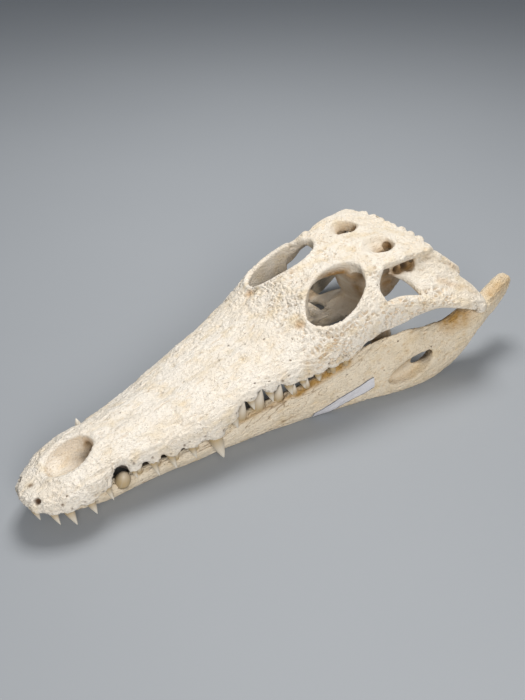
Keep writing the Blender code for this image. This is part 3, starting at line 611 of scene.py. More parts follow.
def openness(thing, reach=30.0):
    """How much free sky each point of a mesh sees within reach."""
    mesh = thing.data
    tree = ray_tree(mesh)
    flat, rise = math.cos(SKY_TILT), math.sin(SKY_TILT)
    rays = [Vector((math.cos(a) * flat, math.sin(a) * flat, rise)) for a in turns(6)]
    rays.append(Vector((0.0, 0.0, 1.0)))
    result = np.zeros(len(mesh.vertices))
    for vertex in mesh.vertices:
        normal = vertex.normal
        turn = normal.to_track_quat("Z", "Y")
        start = vertex.co + normal * 0.8 * MM
        free = [tree.ray_cast(start, turn @ ray, reach * MM)[0] is None for ray in rays]
        result[vertex.index] = sum(free)
    return result / len(rays)


def net(thing, grain, smoothing):
    """One even net of faces over all that is joined in an object."""
    finish_with(thing, "REMESH", mode="VOXEL", voxel_size=grain * MM, adaptivity=0.0)
    finish_with(thing, "SMOOTH", factor=0.5, iterations=smoothing)


def thin_out(thing, triangles):
    """Leave only as many triangles as a piece may have, most of them where they show."""
    mesh = thing.data
    facing_down = (normals_of(thing)[:, 2] < -0.6) & (points_of(thing)[:, 2] > 2.0)
    hidden = (values_of(thing, "open") < HIDDEN_OPENNESS) | facing_down
    corners = np.empty(len(mesh.loops), dtype=np.int32)
    mesh.loops.foreach_get("vertex_index", corners)
    starts = np.empty(len(mesh.polygons), dtype=np.int32)
    mesh.polygons.foreach_get("loop_start", starts)
    picked = np.minimum.reduceat(hidden[corners].astype(np.int8), starts) > 0
    alone(thing)
    bpy.ops.object.mode_set(mode="EDIT")
    bpy.ops.mesh.select_mode(type="FACE")
    bpy.ops.mesh.select_all(action="DESELECT")
    bpy.ops.object.mode_set(mode="OBJECT")
    mesh.polygons.foreach_set("select", picked)
    bpy.ops.object.mode_set(mode="EDIT")
    bpy.ops.mesh.decimate(ratio=0.1)
    bpy.ops.object.mode_set(mode="OBJECT")
    have = sum(len(p.vertices) - 2 for p in mesh.polygons)
    if have > triangles:
        finish_with(thing, "DECIMATE", ratio=triangles / have)
    alone(thing)
    bpy.ops.object.shade_smooth()


# ---------------------------------------------------------------- cranium
def face_section(back):
    """Half width, top, shoulder, rim and fullness of the face at one place."""
    half, top, rim = flow(FACE, back)[0]
    fullness = FACE_FULLNESS[0] + (FACE_FULLNESS[1] - FACE_FULLNESS[0]) * (back / FACE[-1][0])
    return half, top, rim + min(CHEEK_SHARE * (top - rim), CHEEK_ROUNDING), rim, fullness


def face():
    """Snout and face in one form."""
    turn = turns(120)
    rise = np.sin(turn)
    loops = []
    for place in np.linspace(FACE[0][0], FACE[-1][0], 170):
        half, top, shoulder, rim, fullness = face_section(place)
        upper = shoulder + (top - shoulder) * np.abs(rise) ** (2.0 / fullness)
        lower = shoulder - (shoulder - rim) * np.abs(rise) ** 0.4
        x = half * power(np.cos(turn), 2.0 / fullness)
        loops.append(np.stack([x, np.full(120, place), np.where(rise >= 0.0, upper, lower)], axis=1))
    return roll_up("cranium_bone", loops)


def palate_vault():
    """The hollow between the two rows of upper teeth."""
    places = np.linspace(*VAULT_ENDS, 90)
    loops = []
    for place, (half, top, rim) in zip(places, flow(FACE, places)):
        inner = half - TOOTH_ROW_WIDTH
        vault = min(rim + VAULT_RISE, top - SNOUT_ROOF)
        edge = ((inner, rim - 20.0), (inner, rim + 2.0), (inner * VAULT_TAPER, vault))
        loops.append([(x, place, z) for x, z in edge] + [(-x, place, z) for x, z in edge[::-1]])
    return roll_up("palate_vault", loops)


def ball(name, place, radii):
    """A ball stretched to three radii, for a round hollow or knob."""
    bpy.ops.object.select_all(action="DESELECT")
    bpy.ops.mesh.primitive_uv_sphere_add(segments=24, ring_count=14, radius=1.0)
    form = bpy.context.object
    form.name = name
    size = Matrix.Diagonal((*(radius * MM for radius in radii), 1.0))
    form.data.transform(Matrix.Translation(world(place)) @ size)
    return form


def rim_arch(back, wide, high, side):
    """A pointed arch through the upper rim, to show a lower tooth."""
    half, top, rim = flow(FACE, back)[0]
    turn = turns(24)
    upper = np.sin(turn) > 0.0
    along = wide * power(np.cos(turn), np.where(upper, ARCH_POINT, 1.0))
    rise = np.where(upper, high, 6.0) * np.sin(turn)
    loops = []
    for x, grow in ((half + 6.0, 1.1), (half - 2.0, 1.0), (half - TOOTH_ROW_WIDTH - 2.0, 0.9)):
        z = rim + (x - half) * 0.35 + grow * rise
        loops.append(np.stack([np.full(24, side * x), back + grow * along, z], axis=1))
    return roll_up("rim_arch", loops)


def cranium_form():
    """The cranium's whole form, before its surface."""
    skull = face()
    combine(skull, palate_vault(), "DIFFERENCE")
    combine(skull, level_shaft("nostril", NOSTRIL, around=64), "DIFFERENCE")
    for side in (1, -1):
        for name, levels in (("brow_window", BROW_WINDOW), ("cheek_space", CHEEK_SPACE),
                             ("fang_notch", FANG_NOTCH)):
            combine(skull, level_shaft(name, levels, side), "DIFFERENCE")
        combine(skull, tube("nose_passage", NOSE_PASSAGE, side), "DIFFERENCE")
        for back, wide, high in RIM_ARCHES:
            combine(skull, rim_arch(back, wide, high, side), "DIFFERENCE")
    for name, rows, fullness in (("table", TABLE, 3.2), ("braincase", BRAINCASE, 2.6),
                                 ("palate_bar", PALATE_BAR, 2.4)):
        combine(skull, slab(name, rows, fullness), "UNION")
    for side in (1, -1):
        combine(skull, level_shaft("orbit", ORBIT, side, 72), "DIFFERENCE")
    for side in (1, -1):
        for name, rows in BARS.items():
            combine(skull, bar(name, rows, side), "UNION")
        combine(skull, roller("joint_roller", 0.0, side), "UNION")
        combine(skull, level_shaft("temporal_hole", TEMPORAL_HOLE, side), "DIFFERENCE")
        for name, balls, operation in (("temporal_pit", TEMPORAL_PIT, "DIFFERENCE"),
                                       ("ear_hollow", EAR_HOLLOWS, "DIFFERENCE"),
                                       ("table_knob", TABLE_KNOBS, "UNION")):
            for (x, back, z), radii in balls:
                combine(skull, ball(name, (side * x, back, z), radii), operation)
    combine(skull, level_shaft("condyle", CONDYLE), "UNION")
    combine(skull, tube("brain_opening", BRAIN_OPENING, around=32), "DIFFERENCE")
    net(skull, CRANIUM_GRAIN, 4)
    return skull


def face_height(x, back):
    """Height of the face's upper surface."""
    half, top, shoulder, rim, fullness = face_section(back)
    across = min(abs(x) / half, 1.0) ** (fullness / 2.0)
    return shoulder + (top - shoulder) * math.sqrt(1.0 - across ** 2) ** (2.0 / fullness)


def orbit_rim():
    """The path around the left orbit's upper rim."""
    z, x, back, wide, long, lean = ORBIT[-1]
    path = []
    for turn in np.linspace(0.0, 2.0 * math.pi, 25):
        along = (long + 1.5) * math.sin(turn)
        across = x + (wide + 1.5) * math.cos(turn) + lean * along
        path.append((across, back + along, face_height(across, min(back + along, FACE[-1][0])) - 1.0))
    return path


def inside_ring(left, ring, reach):
    """How far a point lies from an oval hole: 0 in it and at its rim, 1 beyond reach."""
    z, x, back, wide, long, *lean = ring
    along = left[:, 1] - back
    across = left[:, 0] - x - sum(lean) * along
    return ramp(np.hypot(across / wide, along / long), 1.0, 1.0 + reach / min(wide, long))


def shape_cranium(skull):
    """The larger swellings and hollows, with one over each tooth's root."""
    swellings = [(1.5, orbit_rim(), 5.0), *SKULL_SWELLINGS]
    for back, length, radius in UPPER_TEETH:
        half, top, rim = flow(FACE, back)[0]
        swellings.append((1.7, ((half - 1.0, back, rim + 3.0),), radius + 3.5))
    points = points_of(skull)
    lift = swell(mirrored(points), swellings)
    put_points(skull, points + normals_of(skull) * lift[:, None])


def skull_relief(skull):
    """Wrinkles, pits and small holes of the bone's outer surface."""
    points = points_of(skull)
    normals = normals_of(skull)
    left = mirrored(points)
    x, back, z = left.T
    up = normals[:, 2]
    outer = ramp(values_of(skull, "open"), 0.45, 0.8) * ramp(up, -0.75, -0.35)
    warp = (clouds(points / 11.0, 3)[:, None] - 0.5) * [6.0, 10.0, 6.0]
    for ring in (ORBIT[-2], TEMPORAL_HOLE[-2], NOSTRIL[-1]):
        outer *= 0.15 + 0.85 * inside_ring(left, ring, 3.5)
    snout = outer * (1.0 - ramp(back, 285.0, 325.0))
    crown = ramp(up, 0.8, 0.97) * (1.0 - ramp(x, 12.0, 24.0)) * (1.0 - ramp(back, 250.0, 290.0))
    table = outer * ramp(back, 325.0, 345.0) * ramp(z, 116.0, 122.0)
    run, near = along_path(left, CHEEK_BAND)
    cheek = outer * (1.0 - ramp(near, 13.0, 19.0)) * ramp(back, 235.0, 270.0) * ramp(x, 50.0, 60.0)
    cheek *= 1.0 - ramp(back, 405.0, 432.0)
    brow = outer * ramp(back, 230.0, 280.0) * (1.0 - ramp(back, 335.0, 350.0)) * (1.0 - cheek)
    rear = outer * ramp(back, 385.0, 400.0) * (1.0 - table) * (1.0 - cheek)

    # long wrinkles of the snout, short ones of the brow, strands at the rear
    ridged = ridges((points + warp) / [2.8, 15.0, 2.8], 11, 3, 2.4)
    wrinkles = ridges((points + warp[:, [1, 0, 2]]) / [2.6, 3.4, 2.6], 15, 2, 2.4)
    lift = (1.3 - 0.5 * crown) * snout * ridged + (0.2 * snout + 0.5 * brow) * wrinkles
    lift += outer * (clouds(points / 15.0, 21, 2) - 0.5)
    lift += outer * (0.3 - 0.15 * rear) * (clouds(points / 2.3, 23, 2) - 0.5)
    strands = np.stack([(0.6 * x + 0.8 * back) / 18.0, (0.6 * back - 0.8 * x) / 2.8, z / 2.8], axis=1)
    strands = ridges(strands + warp / [18.0, 12.0, 12.0], 27, 2, 2.2)
    lift += 0.9 * rear * strands

    # pits of the table and brow, and spots of the snout
    found = cells((points + warp * 0.3) / [3.4, 4.2, 3.4], 31, 0.85)
    pits = hollows(found, (0.08, 0.5), (0.3, 0.55))
    spots = dots(found, (0.12, 0.42), (0.45, 0.6))
    dips = pits * (1.4 * table + 1.1 * brow) + 0.7 * spots * snout * (1.0 - 0.6 * crown)

    # rows of pits along the cheek, each row half a step past the last
    rows = np.stack([run / 5.2, (z + 0.25 * x + 1.2 * warp[:, 2]) / 3.1, x / 7.0], axis=1)
    rows[:, 0] += 0.5 * (np.floor(rows[:, 1]) % 2.0)
    dips += 2.3 * hollows(cells(rows, 47, 0.65), (0.1, 0.5), (0.05, 0.3)) * cheek
    lift -= dips

    # small holes, and a row of them over the teeth
    holes = dots(cells((points + warp) / [8.0, 10.0, 8.0], 59), (0.05, 0.12), (0.3, 0.35))
    holes *= outer * (1.0 - rear)
    for back_row in range(10, 290, 9):
        half, top, rim = flow(FACE, back_row)[0]
        wobble = 3.0 * math.sin(back_row * 1.7)
        place = (half + 0.5, back_row + wobble, rim + 8.5 + wobble)
        holes = np.maximum(holes, touch(left, (place,), 1.5 + 0.1 * wobble) * outer)
    front_hole = ramp(touch(left, (FRONT_HOLE,), 4.5), 0.2, 0.5)
    holes = np.maximum(holes, front_hole)
    lift -= 1.4 * holes + 1.6 * front_hole

    # joint lines between the bones
    wander = mirrored(points + (clouds(points / 5.0, 91, 3)[:, None] - 0.5) * [9.0, 3.0, 3.0])
    line = np.zeros(len(points))
    for path in JOINT_LINES:
        line = np.maximum(line, touch(wander, path, 1.3))
    line *= outer * ramp(clouds(points / 9.0, 93, 2), 0.35, 0.55)
    lift -= 0.9 * line

    # painted shade in the pits and in the valleys of the wrinkles and strands, with the joint lines' own
    # darker colour; the small holes get painted shade too
    tint = 0.62 * ramp(dips, 0.5, 1.8) + 0.8 * line + 0.45 * snout * ramp(-ridged, 0.1, 0.9)
    tint += 0.45 * rear * ramp(-strands, 0.0, 0.9)
    put_values(skull, "pit", np.clip(tint, 0.0, 1.0))
    put_values(skull, "hole", np.clip(holes, 0.0, 1.0))
    put_points(skull, points + normals * lift[:, None])


# ---------------------------------------------------------------- lower jaw
def jaw_form(name, side):
    """One half of the lower jaw, before its surface."""
    places = np.linspace(JAW[0][0], JAW[-1][0], 200)
    turn = turns(72)
    rise = power(np.sin(turn), 0.72)
    loops = []
    for place, row in zip(places, flow(JAW, places)):
        outer_top, outer_bottom, bulge, top, bottom, thickness = row
        outer = (outer_top + outer_bottom) / 2.0 + rise * (outer_top - outer_bottom) / 2.0
        outer = outer + bulge * (1.0 - rise * rise)
        x = outer - thickness / 2.0 + thickness / 2.0 * power(np.cos(turn), 0.8)
        z = (top + bottom) / 2.0 + rise * ((top - bottom) / 2.0 + 0.3)
        loops.append(np.stack([side * np.maximum(x, MIDLINE_GAP), np.full(72, place), z], axis=1))
    bone = roll_up(name, loops)
    slant = np.array((side * JAW_WINDOW_FLARE, 1.0, JAW_WINDOW_RISE))
    for rings in (JAW_WINDOW, JAW_PASSAGE):
        loops = [hoop((side * x, back, z), long * slant, (0.0, 0.0, high), 48)
                 for x, back, z, long, high in rings]
        combine(bone, roll_up("jaw_window", loops), "DIFFERENCE")
    combine(bone, roller("joint_socket", JOINT_GAP, side), "DIFFERENCE")
    for base, tip, radius in lower_places(side):
        place = (base[0] + side * SOCKET_OUT, base[1], base[2] + SOCKET_UP)
        radii = (radius + SOCKET_GAP, radius + SOCKET_GAP, SOCKET_HEIGHT)
        combine(bone, ball("socket", place, radii), "DIFFERENCE")
    net(bone, JAW_GRAIN, 3)
    return bone


def jaw_relief(bone):
    """Long grain, pits and holes of the lower jaw."""
    points = points_of(bone)
    normals = normals_of(bone)
    left = mirrored(points)
    x, back, z = left.T
    outer = ramp(values_of(bone, "open"), 0.4, 0.75)
    rim_back, rim_z, long, high = JAW_POCKET_RIM
    along = back - rim_back
    up = z - rim_z - JAW_WINDOW_RISE * along
    outer *= ramp(np.hypot(along / long, up / high), 0.95, 1.12)
    warp = (clouds(points / 15.0, 5)[:, None] - 0.5) * [4.0, 12.0, 6.0]
    slope = z - 0.18 * np.maximum(back - 180.0, 0.0)
    fibre = np.stack([x / 3.0, back / 30.0, slope / 2.8], axis=1) + warp / [6.0, 26.0, 9.0]
    grain = ridges(fibre, 13, 3, 2.2)
    lift = outer * 0.85 * grain
    lift += outer * 0.9 * (clouds(points / 17.0, 25, 2) - 0.5)

    behind = ramp(back, 300.0, 340.0)
    grid = np.stack([x / 3.5, back / 9.0, slope / 3.0], axis=1) + warp / [9.0, 30.0, 9.0]
    pits = dots(cells(grid, 61), (0.1, 0.38), (0.35, 0.5)) * outer * (0.4 + 0.6 * behind)
    lift -= 0.8 * pits
    cracks = 1.0 - ramp(np.abs(clouds(fibre * [1.0, 0.32, 0.8], 17) - 0.5), 0.0, 0.04)
    cracks *= 1.0 - touch(left, LABEL_FIELD, 26.0)
    cracks *= outer * ramp(clouds(points / [8.0, 24.0, 8.0], 19), 0.4, 0.58) * (1.0 - behind)
    lift -= 0.7 * cracks
    holes = dots(cells(points / [9.0, 14.0, 9.0], 73), (0.05, 0.1), (0.4, 0.45)) * outer
    lift += swell(left, JAW_SWELLINGS) - 1.2 * holes
    rough = ramp(back, 455.0, 490.0) * outer
    lift += 1.4 * rough * (clouds(points / 5.0, 29, 2) - 0.5)

    # painted shade in the valleys of the grain, in the pits and along the cracks; the small holes and the
    # cracks get painted shade too
    tint = 0.7 * ramp(-grain, 0.0, 0.8) * outer + 0.8 * pits + cracks
    put_values(bone, "pit", np.clip(tint, 0.0, 1.0))
    put_values(bone, "hole", np.clip(holes + 0.5 * cracks, 0.0, 1.0))
    points = points + normals * lift[:, None]
    side = np.sign(points[:, 0].mean())
    points[:, 0] = side * np.maximum(side * points[:, 0], MIDLINE_GAP)
    points[:, 2] = np.maximum(points[:, 2], 0.15)
    put_points(bone, points)


# ---------------------------------------------------------------- teeth
def tooth_form(bluntness):
    """One tooth of unit length and radius along +Z, with its root below 0."""
    heights = np.concatenate([[-0.35, -0.15], np.linspace(0.0, 0.97, 11), [1.0]])
    turn = turns(16)
    loops = []
    for t in heights:
        radius = ROOT_WIDTH if t < 0.0 else 0.02 + 0.98 * (1.0 - t ** bluntness) ** (1.0 / bluntness)
        radius = radius * (1.0 + TOOTH_EDGES * np.cos(2.0 * turn) * max(t, 0.0))
        lean = TOOTH_CURVE * max(t, 0.0) ** 2
        loops.append(np.stack([radius * np.cos(turn), radius * np.sin(turn) - lean, np.full(16, t)], axis=1))
    loops = np.array(loops)
    loops[..., 1] += OVERALL_LENGTH / 2.0
    form = roll_up("tooth", loops)
    if bluntness == WORN:
        for loop in form.data.uv_layers.active.data:
            loop.uv.y *= WORN_COLOURS
    form.data.transform(Matrix.Scale(1.0 / MM, 4))
    return form


def plant(forms, name, places):
    """Copies of the tooth at base, tip and radius, joined to one piece."""
    pointed, stout, worn = forms
    copies = []
    for base, tip, radius in places:
        length = math.dist(base, tip)
        form = worn if length < WORN_LENGTH * radius else stout if length > STOUT_LENGTH else pointed
        base, tip = Vector(world(base)), Vector(world(tip))
        axis = (tip - base).normalized()
        outward = Vector((math.copysign(1.0, base.x), -0.3, 0.0))
        side = axis.cross(outward).normalized()
        outward = side.cross(axis)
        copy = form.copy()
        copy.data = form.data.copy()
        bpy.context.scene.collection.objects.link(copy)
        wide, long = radius * MM, (tip - base).length
        turn = Matrix((side * wide, outward * wide, axis * long)).transposed().to_4x4()
        copy.data.transform(Matrix.Translation(base) @ turn)
        copies.append(copy)
    alone(copies[0])
    for copy in copies:
        copy.select_set(True)
    bpy.ops.object.join()
    teeth = bpy.context.object
    teeth.name = name
    outwards(teeth)
    bpy.ops.object.shade_smooth()
    return teeth


def upper_places():
    """Base, tip and radius of all upper teeth."""
    places = []
    for side in (1, -1):
        for back, length, radius in UPPER_TEETH:
            half, top, rim = flow(FACE, back)[0]
            x = half - radius - UPPER_INSET
            lean = (UPPER_LEAN if back > FRONT_END else FRONT_LEAN) * length
            tip = (side * (x + lean), back + UPPER_BACK_LEAN * length, rim - length)
            places.append(((side * x, back, rim), tip, radius))
    return places


def lower_places(side):
    """Base, tip and radius of the lower teeth on one side."""
    places = []
    for back, length, radius, lean in LOWER_TEETH:
        outer, lower, bulge, top, bottom, thickness = flow(JAW, back)[0]
        x = max(outer - radius - LOWER_INSET, radius)
        backward = -FANG_FORWARD if back == FANG_BACK else LOWER_BACK_LEAN * length
        base, tip = (side * x, back, top), (side * (x + lean), back + backward, top + length)
        if back == FANG_BACK and side > 0:
            low, high, length, radius = LEFT_FANG
            base, tip = (*low, top), (*high, top + length)
        places.append((base, tip, radius))
    return places


# ---------------------------------------------------------------- label
def label_strip(jaw):
    """The blank paper strip, laid on the left half of the jaw."""
    tree = ray_tree(jaw.data)
    columns, rows = 60, 12
    bpy.ops.object.select_all(action="DESELECT")
    bpy.ops.mesh.primitive_grid_add(x_subdivisions=columns, y_subdivisions=rows, size=1.0)
    strip = bpy.context.object
    strip.name = "label_strip"
    places = []
    for j in range(rows + 1):
        for i in range(columns + 1):
            back, upper = (front + (rear - front) * i / columns
                           for front, rear in zip(LABEL_FRONT, LABEL_REAR))
            lower = max(upper - LABEL_HEIGHT, LABEL_LOWEST)
            start = Vector(world((200.0, back, lower + (upper - lower) * j / rows)))
            place, normal, face_index, distance = tree.ray_cast(start, Vector((-1.0, 0.0, 0.0)))
            places.append(place + normal * LABEL_GAP * MM)
    strip.data.vertices.foreach_set("co", np.array(places).ravel())
    finish_with(strip, "SMOOTH", factor=0.5, iterations=6)
    finish_with(strip, "SOLIDIFY", thickness=LABEL_THICKNESS * MM, offset=1.0)
    outwards(strip)
    return strip


# ---------------------------------------------------------------- materials
class Paint:
    """A material and its nodes, made by short calls."""

    def __init__(self, name, roughness):
        self.material = bpy.data.materials.new(name)
        self.material.use_nodes = True
        self.tree = self.material.node_tree
        self.shader = self.tree.nodes["Principled BSDF"]
        self.shader.inputs["Roughness"].default_value = roughness

    def node(self, kind, **sockets):
        """A node with its sockets set or linked by name."""
        node = self.tree.nodes.new("ShaderNode" + kind)
        for name, value in sockets.items():
            self.feed(node.inputs[name.replace("_", " ")], value)
        return node

    def feed(self, socket, value):
        """Link an output to a socket, or set its value."""
        if isinstance(value, bpy.types.NodeSocket):
            self.tree.links.new(value, socket)
        else:
            socket.default_value = value

    def attribute(self, name):
        """The number kept for each point of the mesh."""
        node = self.node("Attribute")
        node.attribute_name = name
        return node.outputs["Fac"]

    def place(self, scale=(1.0, 1.0, 1.0)):
        """Object coordinates, stretched."""
        source = self.node("TexCoord").outputs["Object"]
        return self.node("Mapping", Vector=source, Scale=scale).outputs["Vector"]

    def axes(self, source):
        """X, Y and Z of a place."""
        return self.node("SeparateXYZ", Vector=source).outputs

    def noise(self, scale, detail=3.0, stretch=(1.0, 1.0, 1.0)):
        """Clouds in object coordinates."""
        node = self.node("TexNoise", Vector=self.place(stretch), Scale=scale, Detail=detail)
        return node.outputs["Fac"]

    def span(self, value, low, high, to_low=0.0, to_high=1.0):
        """A value's range brought to another range."""
        node = self.node("MapRange")
        for socket, number in zip(("Value", "From Min", "From Max", "To Min", "To Max"),
                                  (value, low, high, to_low, to_high)):
            self.feed(node.inputs[socket], number)
        return node.outputs["Result"]

    def math(self, operation, *values):
        """One step of arithmetic."""
        node = self.node("Math")
        node.operation = operation
        for socket, value in zip(node.inputs, values):
            self.feed(socket, value)
        return node.outputs["Value"]

    def mix(self, share, first, second):
        """The first colour, with a share of the second over it."""
        node = self.node("Mix")
        node.data_type = "RGBA"
        self.feed(node.inputs["Factor"], share)
        for socket, colour in ((node.inputs[6], first), (node.inputs[7], second)):
            if isinstance(colour, tuple):
                colour = (*colour, 1.0)
            self.feed(socket, colour)
        return node.outputs[2]

    def colour(self, value):
        self.feed(self.shader.inputs["Base Color"], value)

    def bump(self, height, distance, strength):
        node = self.node("Bump", Height=height, Distance=distance, Strength=strength)
        self.feed(self.shader.inputs["Normal"], node.outputs["Normal"])


# the first two: colours of painted shade, in the small holes and cracks and inside the mouth and dark
# hollows
HOLE_SHADE_BROWN = (0.13, 0.07, 0.035)
SHADE_BROWN = (0.035, 0.02, 0.012)
REAR_TAN = (0.82, 0.66, 0.42)


def bone_finish(name, pale, warm, deep):
    """Dry bone: pale where it is open; painted shade makes it warm and brown in its hollows."""
    paint = Paint(name, 0.55)
    cloudy = paint.noise(38.0, 4.0)
    patches = paint.noise(90.0, 4.0, (1.0, 0.6, 1.0))
    specks = paint.noise(480.0, 3.0)
    tan = tuple(c * w for c, w in zip(pale, (0.93, 0.86, 0.72)))
    chalk = tuple(min(c * w, 0.9) for c, w in zip(pale, (1.05, 1.08, 1.13)))
    colour = paint.mix(paint.span(cloudy, 0.4, 0.65), chalk, pale)
    colour = paint.mix(paint.span(patches, 0.5, 0.72, 0.0, 0.8), colour, tan)
    colour = paint.mix(paint.span(specks, 0.56, 0.74, 0.0, 0.3), colour, warm)
    to_rear = paint.span(paint.axes(paint.place())["Y"], -0.05, 0.2, 0.0, 0.15)
    colour = paint.mix(to_rear, colour, REAR_TAN)
    # painted shade: warmer and browner where less of the sky is open
    hollow = paint.span(paint.attribute("open"), 0.8, 0.25, 0.0, 0.6)
    colour = paint.mix(hollow, colour, warm)
    # painted shade in the pits, cracks and valleys of the relief, with the joint lines' own darker colour
    colour = paint.mix(paint.math("MULTIPLY", paint.attribute("pit"), 0.65), colour, warm)
    # ochre stain, partly painted shade, in the stain colour; painted shade in the small holes and cracks;
    # painted shade inside the mouth and in the dark hollows
    for layer, shade in (("stain_and_shade", deep), ("hole", HOLE_SHADE_BROWN), ("dark", SHADE_BROWN)):
        colour = paint.mix(paint.attribute(layer), colour, shade)
    paint.colour(colour)

    pores = paint.node("TexVoronoi", Vector=paint.place((1.0, 0.7, 1.0)), Scale=620.0).outputs["Distance"]
    pores = paint.span(pores, 0.0, 0.45, 0.0, 0.5)
    fine = paint.math("ADD", paint.noise(700.0, 4.0, (1.0, 0.5, 1.0)), pores)
    fine = paint.math("ADD", fine, paint.noise(420.0, 3.0, (1.0, 0.22, 1.0)))
    paint.bump(fine, 0.0014, 0.9)
    return paint.material


def tooth_finish():
    """Teeth: grey-white, stained at the root, with fine lines to the tip."""
    paint = Paint("tooth", 0.35)
    uv = paint.node("UVMap").outputs["UV"]
    along = paint.axes(uv)["Y"]
    drawn = paint.node("Mapping", Vector=uv, Scale=(26.0, 1.5, 1.0)).outputs["Vector"]
    streaks = paint.node("TexNoise", Vector=drawn, Scale=1.0, Detail=2.0).outputs["Fac"]
    colour = paint.mix(paint.span(along, 0.2, 0.55), (0.48, 0.36, 0.20), (0.74, 0.66, 0.54))
    colour = paint.mix(paint.span(along, 0.6, 0.95), colour, (0.80, 0.75, 0.66))
    colour = paint.mix(paint.span(streaks, 0.5, 0.8, 0.0, 0.5), colour, (0.50, 0.45, 0.36))
    paint.colour(colour)
    paint.bump(streaks, 0.0003, 0.5)
    return paint.material


def paper_finish():
    """Blank grey-white paper with a thin printed border."""
    paint = Paint("label_paper", 0.75)
    parts = paint.axes(paint.node("UVMap").outputs["UV"])
    top, low, end = (paint.math("COMPARE", parts[axis], place, reach)
                     for axis, place, reach in (("Y", 0.955, 0.04), ("Y", 0.03, 0.04), ("X", 0.01, 0.008)))
    line = paint.math("MAXIMUM", paint.math("MAXIMUM", top, low), end)
    fibres = paint.noise(700.0, 3.0)
    colour = paint.mix(paint.span(fibres, 0.4, 0.7), (0.70, 0.69, 0.72), (0.64, 0.63, 0.66))
    paint.colour(paint.mix(line, colour, (0.05, 0.05, 0.06)))
    paint.bump(fibres, 0.0002, 0.4)
    return paint.material


def floor_finish():
    """Plain pale grey, faintly clouded."""
    paint = Paint("floor", 0.7)
    paint.colour(paint.mix(paint.noise(3.0), (0.33, 0.35, 0.375), (0.35, 0.37, 0.395)))
    return paint.material


# ---------------------------------------------------------------- build
def stains_and_painted_shade(thing, places, shade):
    """Keep the ochre stain and the painted shade of each point, for the bone's finish."""
    left = mirrored(points_of(thing))
    stain_and_shade = np.zeros(len(left))
    dark = np.array(shade, dtype=float)
    ragged = 0.35 + 1.3 * clouds(points_of(thing) / 4.0, 87, 3)
    for path, radius, ochre, black in places:
        spot = touch(left, path, radius)
        stain_and_shade = np.maximum(stain_and_shade, ochre * spot * ragged)
        dark = np.maximum(dark, black * spot)
    put_values(thing, "stain_and_shade", np.clip(stain_and_shade, 0.0, 1.0))
    put_values(thing, "dark", np.clip(dark, 0.0, 1.0))


def mouth_shade(skull):
    """Painted shade on the inside of the mouth, above the two rows of teeth."""
    x, back, z = mirrored(points_of(skull)).T
    half, top, rim = flow(FACE, back).T
    inside = 1.0 - ramp(x, half - 4.5, half - 2.5)
    inside *= 1.0 - ramp(z, rim + 9.0, rim + 12.0)
    inside *= 0.5 + 0.45 * ramp(x, half - 18.0, half - 12.0)
    return inside * ramp(back, 14.0, 24.0) * (1.0 - ramp(back, 300.0, 330.0))


def jaw_shade(bone):
    """Painted shade on the inner side of the jaw, behind the lower teeth and in its rear part."""
    x, back, z = mirrored(points_of(bone)).T
    outer, lower, bulge, top, bottom, thickness = flow(JAW, back).T
    middle = outer - thickness * 0.55
    inside = 1.0 - ramp(x, middle - 1.5, middle + 1.0)
    rows = 0.9 * ramp(z, top - 16.0, top - 6.0) * (1.0 - ramp(back, 300.0, 340.0))
    behind = 0.6 * ramp(back, 250.0, 330.0) * (1.0 - ramp(back, 420.0, 440.0))
    return inside * np.maximum(rows, behind)


skull = cranium_form()
put_values(skull, "open", openness(skull))
shape_cranium(skull)
finish_with(skull, "SUBSURF", levels=1, render_levels=1)
skull_relief(skull)
stains_and_painted_shade(skull, CRANIUM_STAINS_AND_SHADE, mouth_shade(skull))
thin_out(skull, CRANIUM_TRIANGLES)

jaws = []
for name, side in (("jaw_left_bone", 1), ("jaw_right_bone", -1)):
    bone = jaw_form(name, side)
    put_values(bone, "open", openness(bone))
    finish_with(bone, "SUBSURF", levels=1, render_levels=1)
    jaw_relief(bone)
    stains_and_painted_shade(bone, JAW_STAINS_AND_SHADE, jaw_shade(bone))
    thin_out(bone, JAW_TRIANGLES)
    jaws.append(bone)

forms = [tooth_form(bluntness) for bluntness in (POINTED, STOUT, WORN)]
teeth = [plant(forms, "upper_teeth", upper_places()), plant(forms, "lower_teeth_left", lower_places(1)),
         plant(forms, "lower_teeth_right", lower_places(-1))]
for form in forms:
    bpy.data.objects.remove(form, do_unlink=True)
strip = label_strip(jaws[0])

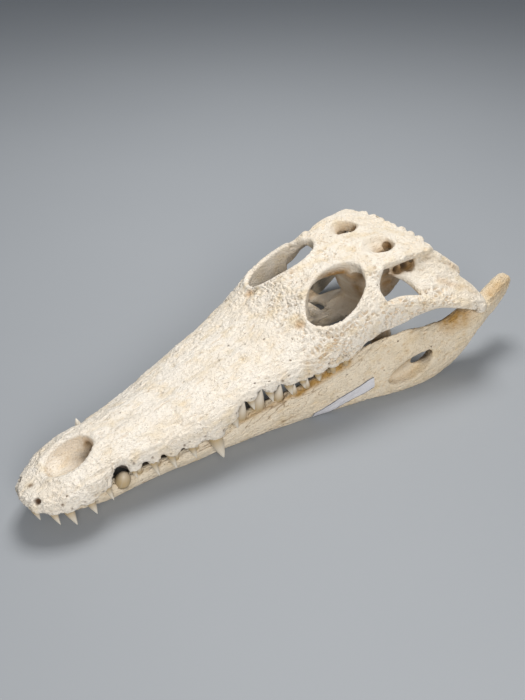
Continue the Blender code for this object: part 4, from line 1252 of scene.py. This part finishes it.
cranium_paint = bone_finish("cranium_bone", (0.85, 0.765, 0.645), (0.56, 0.39, 0.21), (0.46, 0.25, 0.07))
jaw_paint = bone_finish("jaw_bone", (0.82, 0.70, 0.53), (0.55, 0.37, 0.19), (0.50, 0.29, 0.08))
tooth_paint = tooth_finish()
for piece, paint, node, slot in (
        (skull, cranium_paint, "cranium", "cranium_bone"), (jaws[0], jaw_paint, "jaw_left", "jaw_bone"),
        (jaws[1], jaw_paint, "jaw_right", "jaw_bone"), (strip, paper_finish(), "label", "label_paper"),
        (teeth[0], tooth_paint, None, "cranium_bone"), (teeth[1], tooth_paint, None, "jaw_bone"),
        (teeth[2], tooth_paint, None, "jaw_bone")):
    piece.data.materials.clear()
    piece.data.materials.append(paint)
    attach(piece, "root")
    if node:
        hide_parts(node)

# ---------------------------------------------------------------- stage
FLOOR_SIZE = 8.0
bpy.ops.object.select_all(action="DESELECT")
bpy.ops.mesh.primitive_plane_add(size=FLOOR_SIZE, location=(0.0, 0.0, 0.0))
floor = bpy.context.object
floor.name = "floor"
floor.data.materials.append(floor_finish())

LIGHT_AIM = (0.0, 0.0, 0.05)
LIGHT_SIZE = 0.6


def area_light(name, place, aim, size, energy, colour):
    """A soft square light that looks at a point."""
    bpy.ops.object.light_add(type="AREA", location=place)
    light = bpy.context.object
    light.name = name
    light.data.shape = "SQUARE"
    light.data.size = size
    light.data.energy = energy
    light.data.color = colour
    light.rotation_euler = (Vector(place) - Vector(aim)).to_track_quat("Z", "Y").to_euler()


area_light("key_light", (-0.35, 0.35, 1.35), LIGHT_AIM, LIGHT_SIZE, 15.5, (1.0, 0.985, 0.96))
area_light("side_light", (1.1, -0.6, 0.75), LIGHT_AIM, LIGHT_SIZE, 12.5, (1.0, 0.97, 0.93))

sky = bpy.data.worlds.new("studio")
bpy.context.scene.world = sky
sky.use_nodes = True
background = sky.node_tree.nodes["Background"]
background.inputs["Color"].default_value = (0.80, 0.85, 0.92, 1.0)
background.inputs["Strength"].default_value = 0.24

# the camera's place and directions, fitted to the photograph's angle
CAMERA_PLACE = (0.4269, -0.3756, 0.4754)
CAMERA_RIGHT = (0.6573, 0.7536, -0.0060)
CAMERA_UP = (-0.4479, 0.3970, 0.8011)
CAMERA_AHEAD = (-0.6061, 0.5239, -0.5984)
bpy.ops.object.camera_add()
camera = bpy.context.object
camera.name = "camera"
camera.data.sensor_fit = "AUTO"
camera.data.sensor_width = 36.0
camera.data.lens = 37.75
camera.data.clip_start = 0.01
axes = Matrix((CAMERA_RIGHT, CAMERA_UP, tuple(-c for c in CAMERA_AHEAD))).transposed()
camera.matrix_world = Matrix.Translation(CAMERA_PLACE) @ axes.to_4x4()
bpy.context.scene.camera = camera
bpy.context.scene.view_settings.view_transform = "Standard"
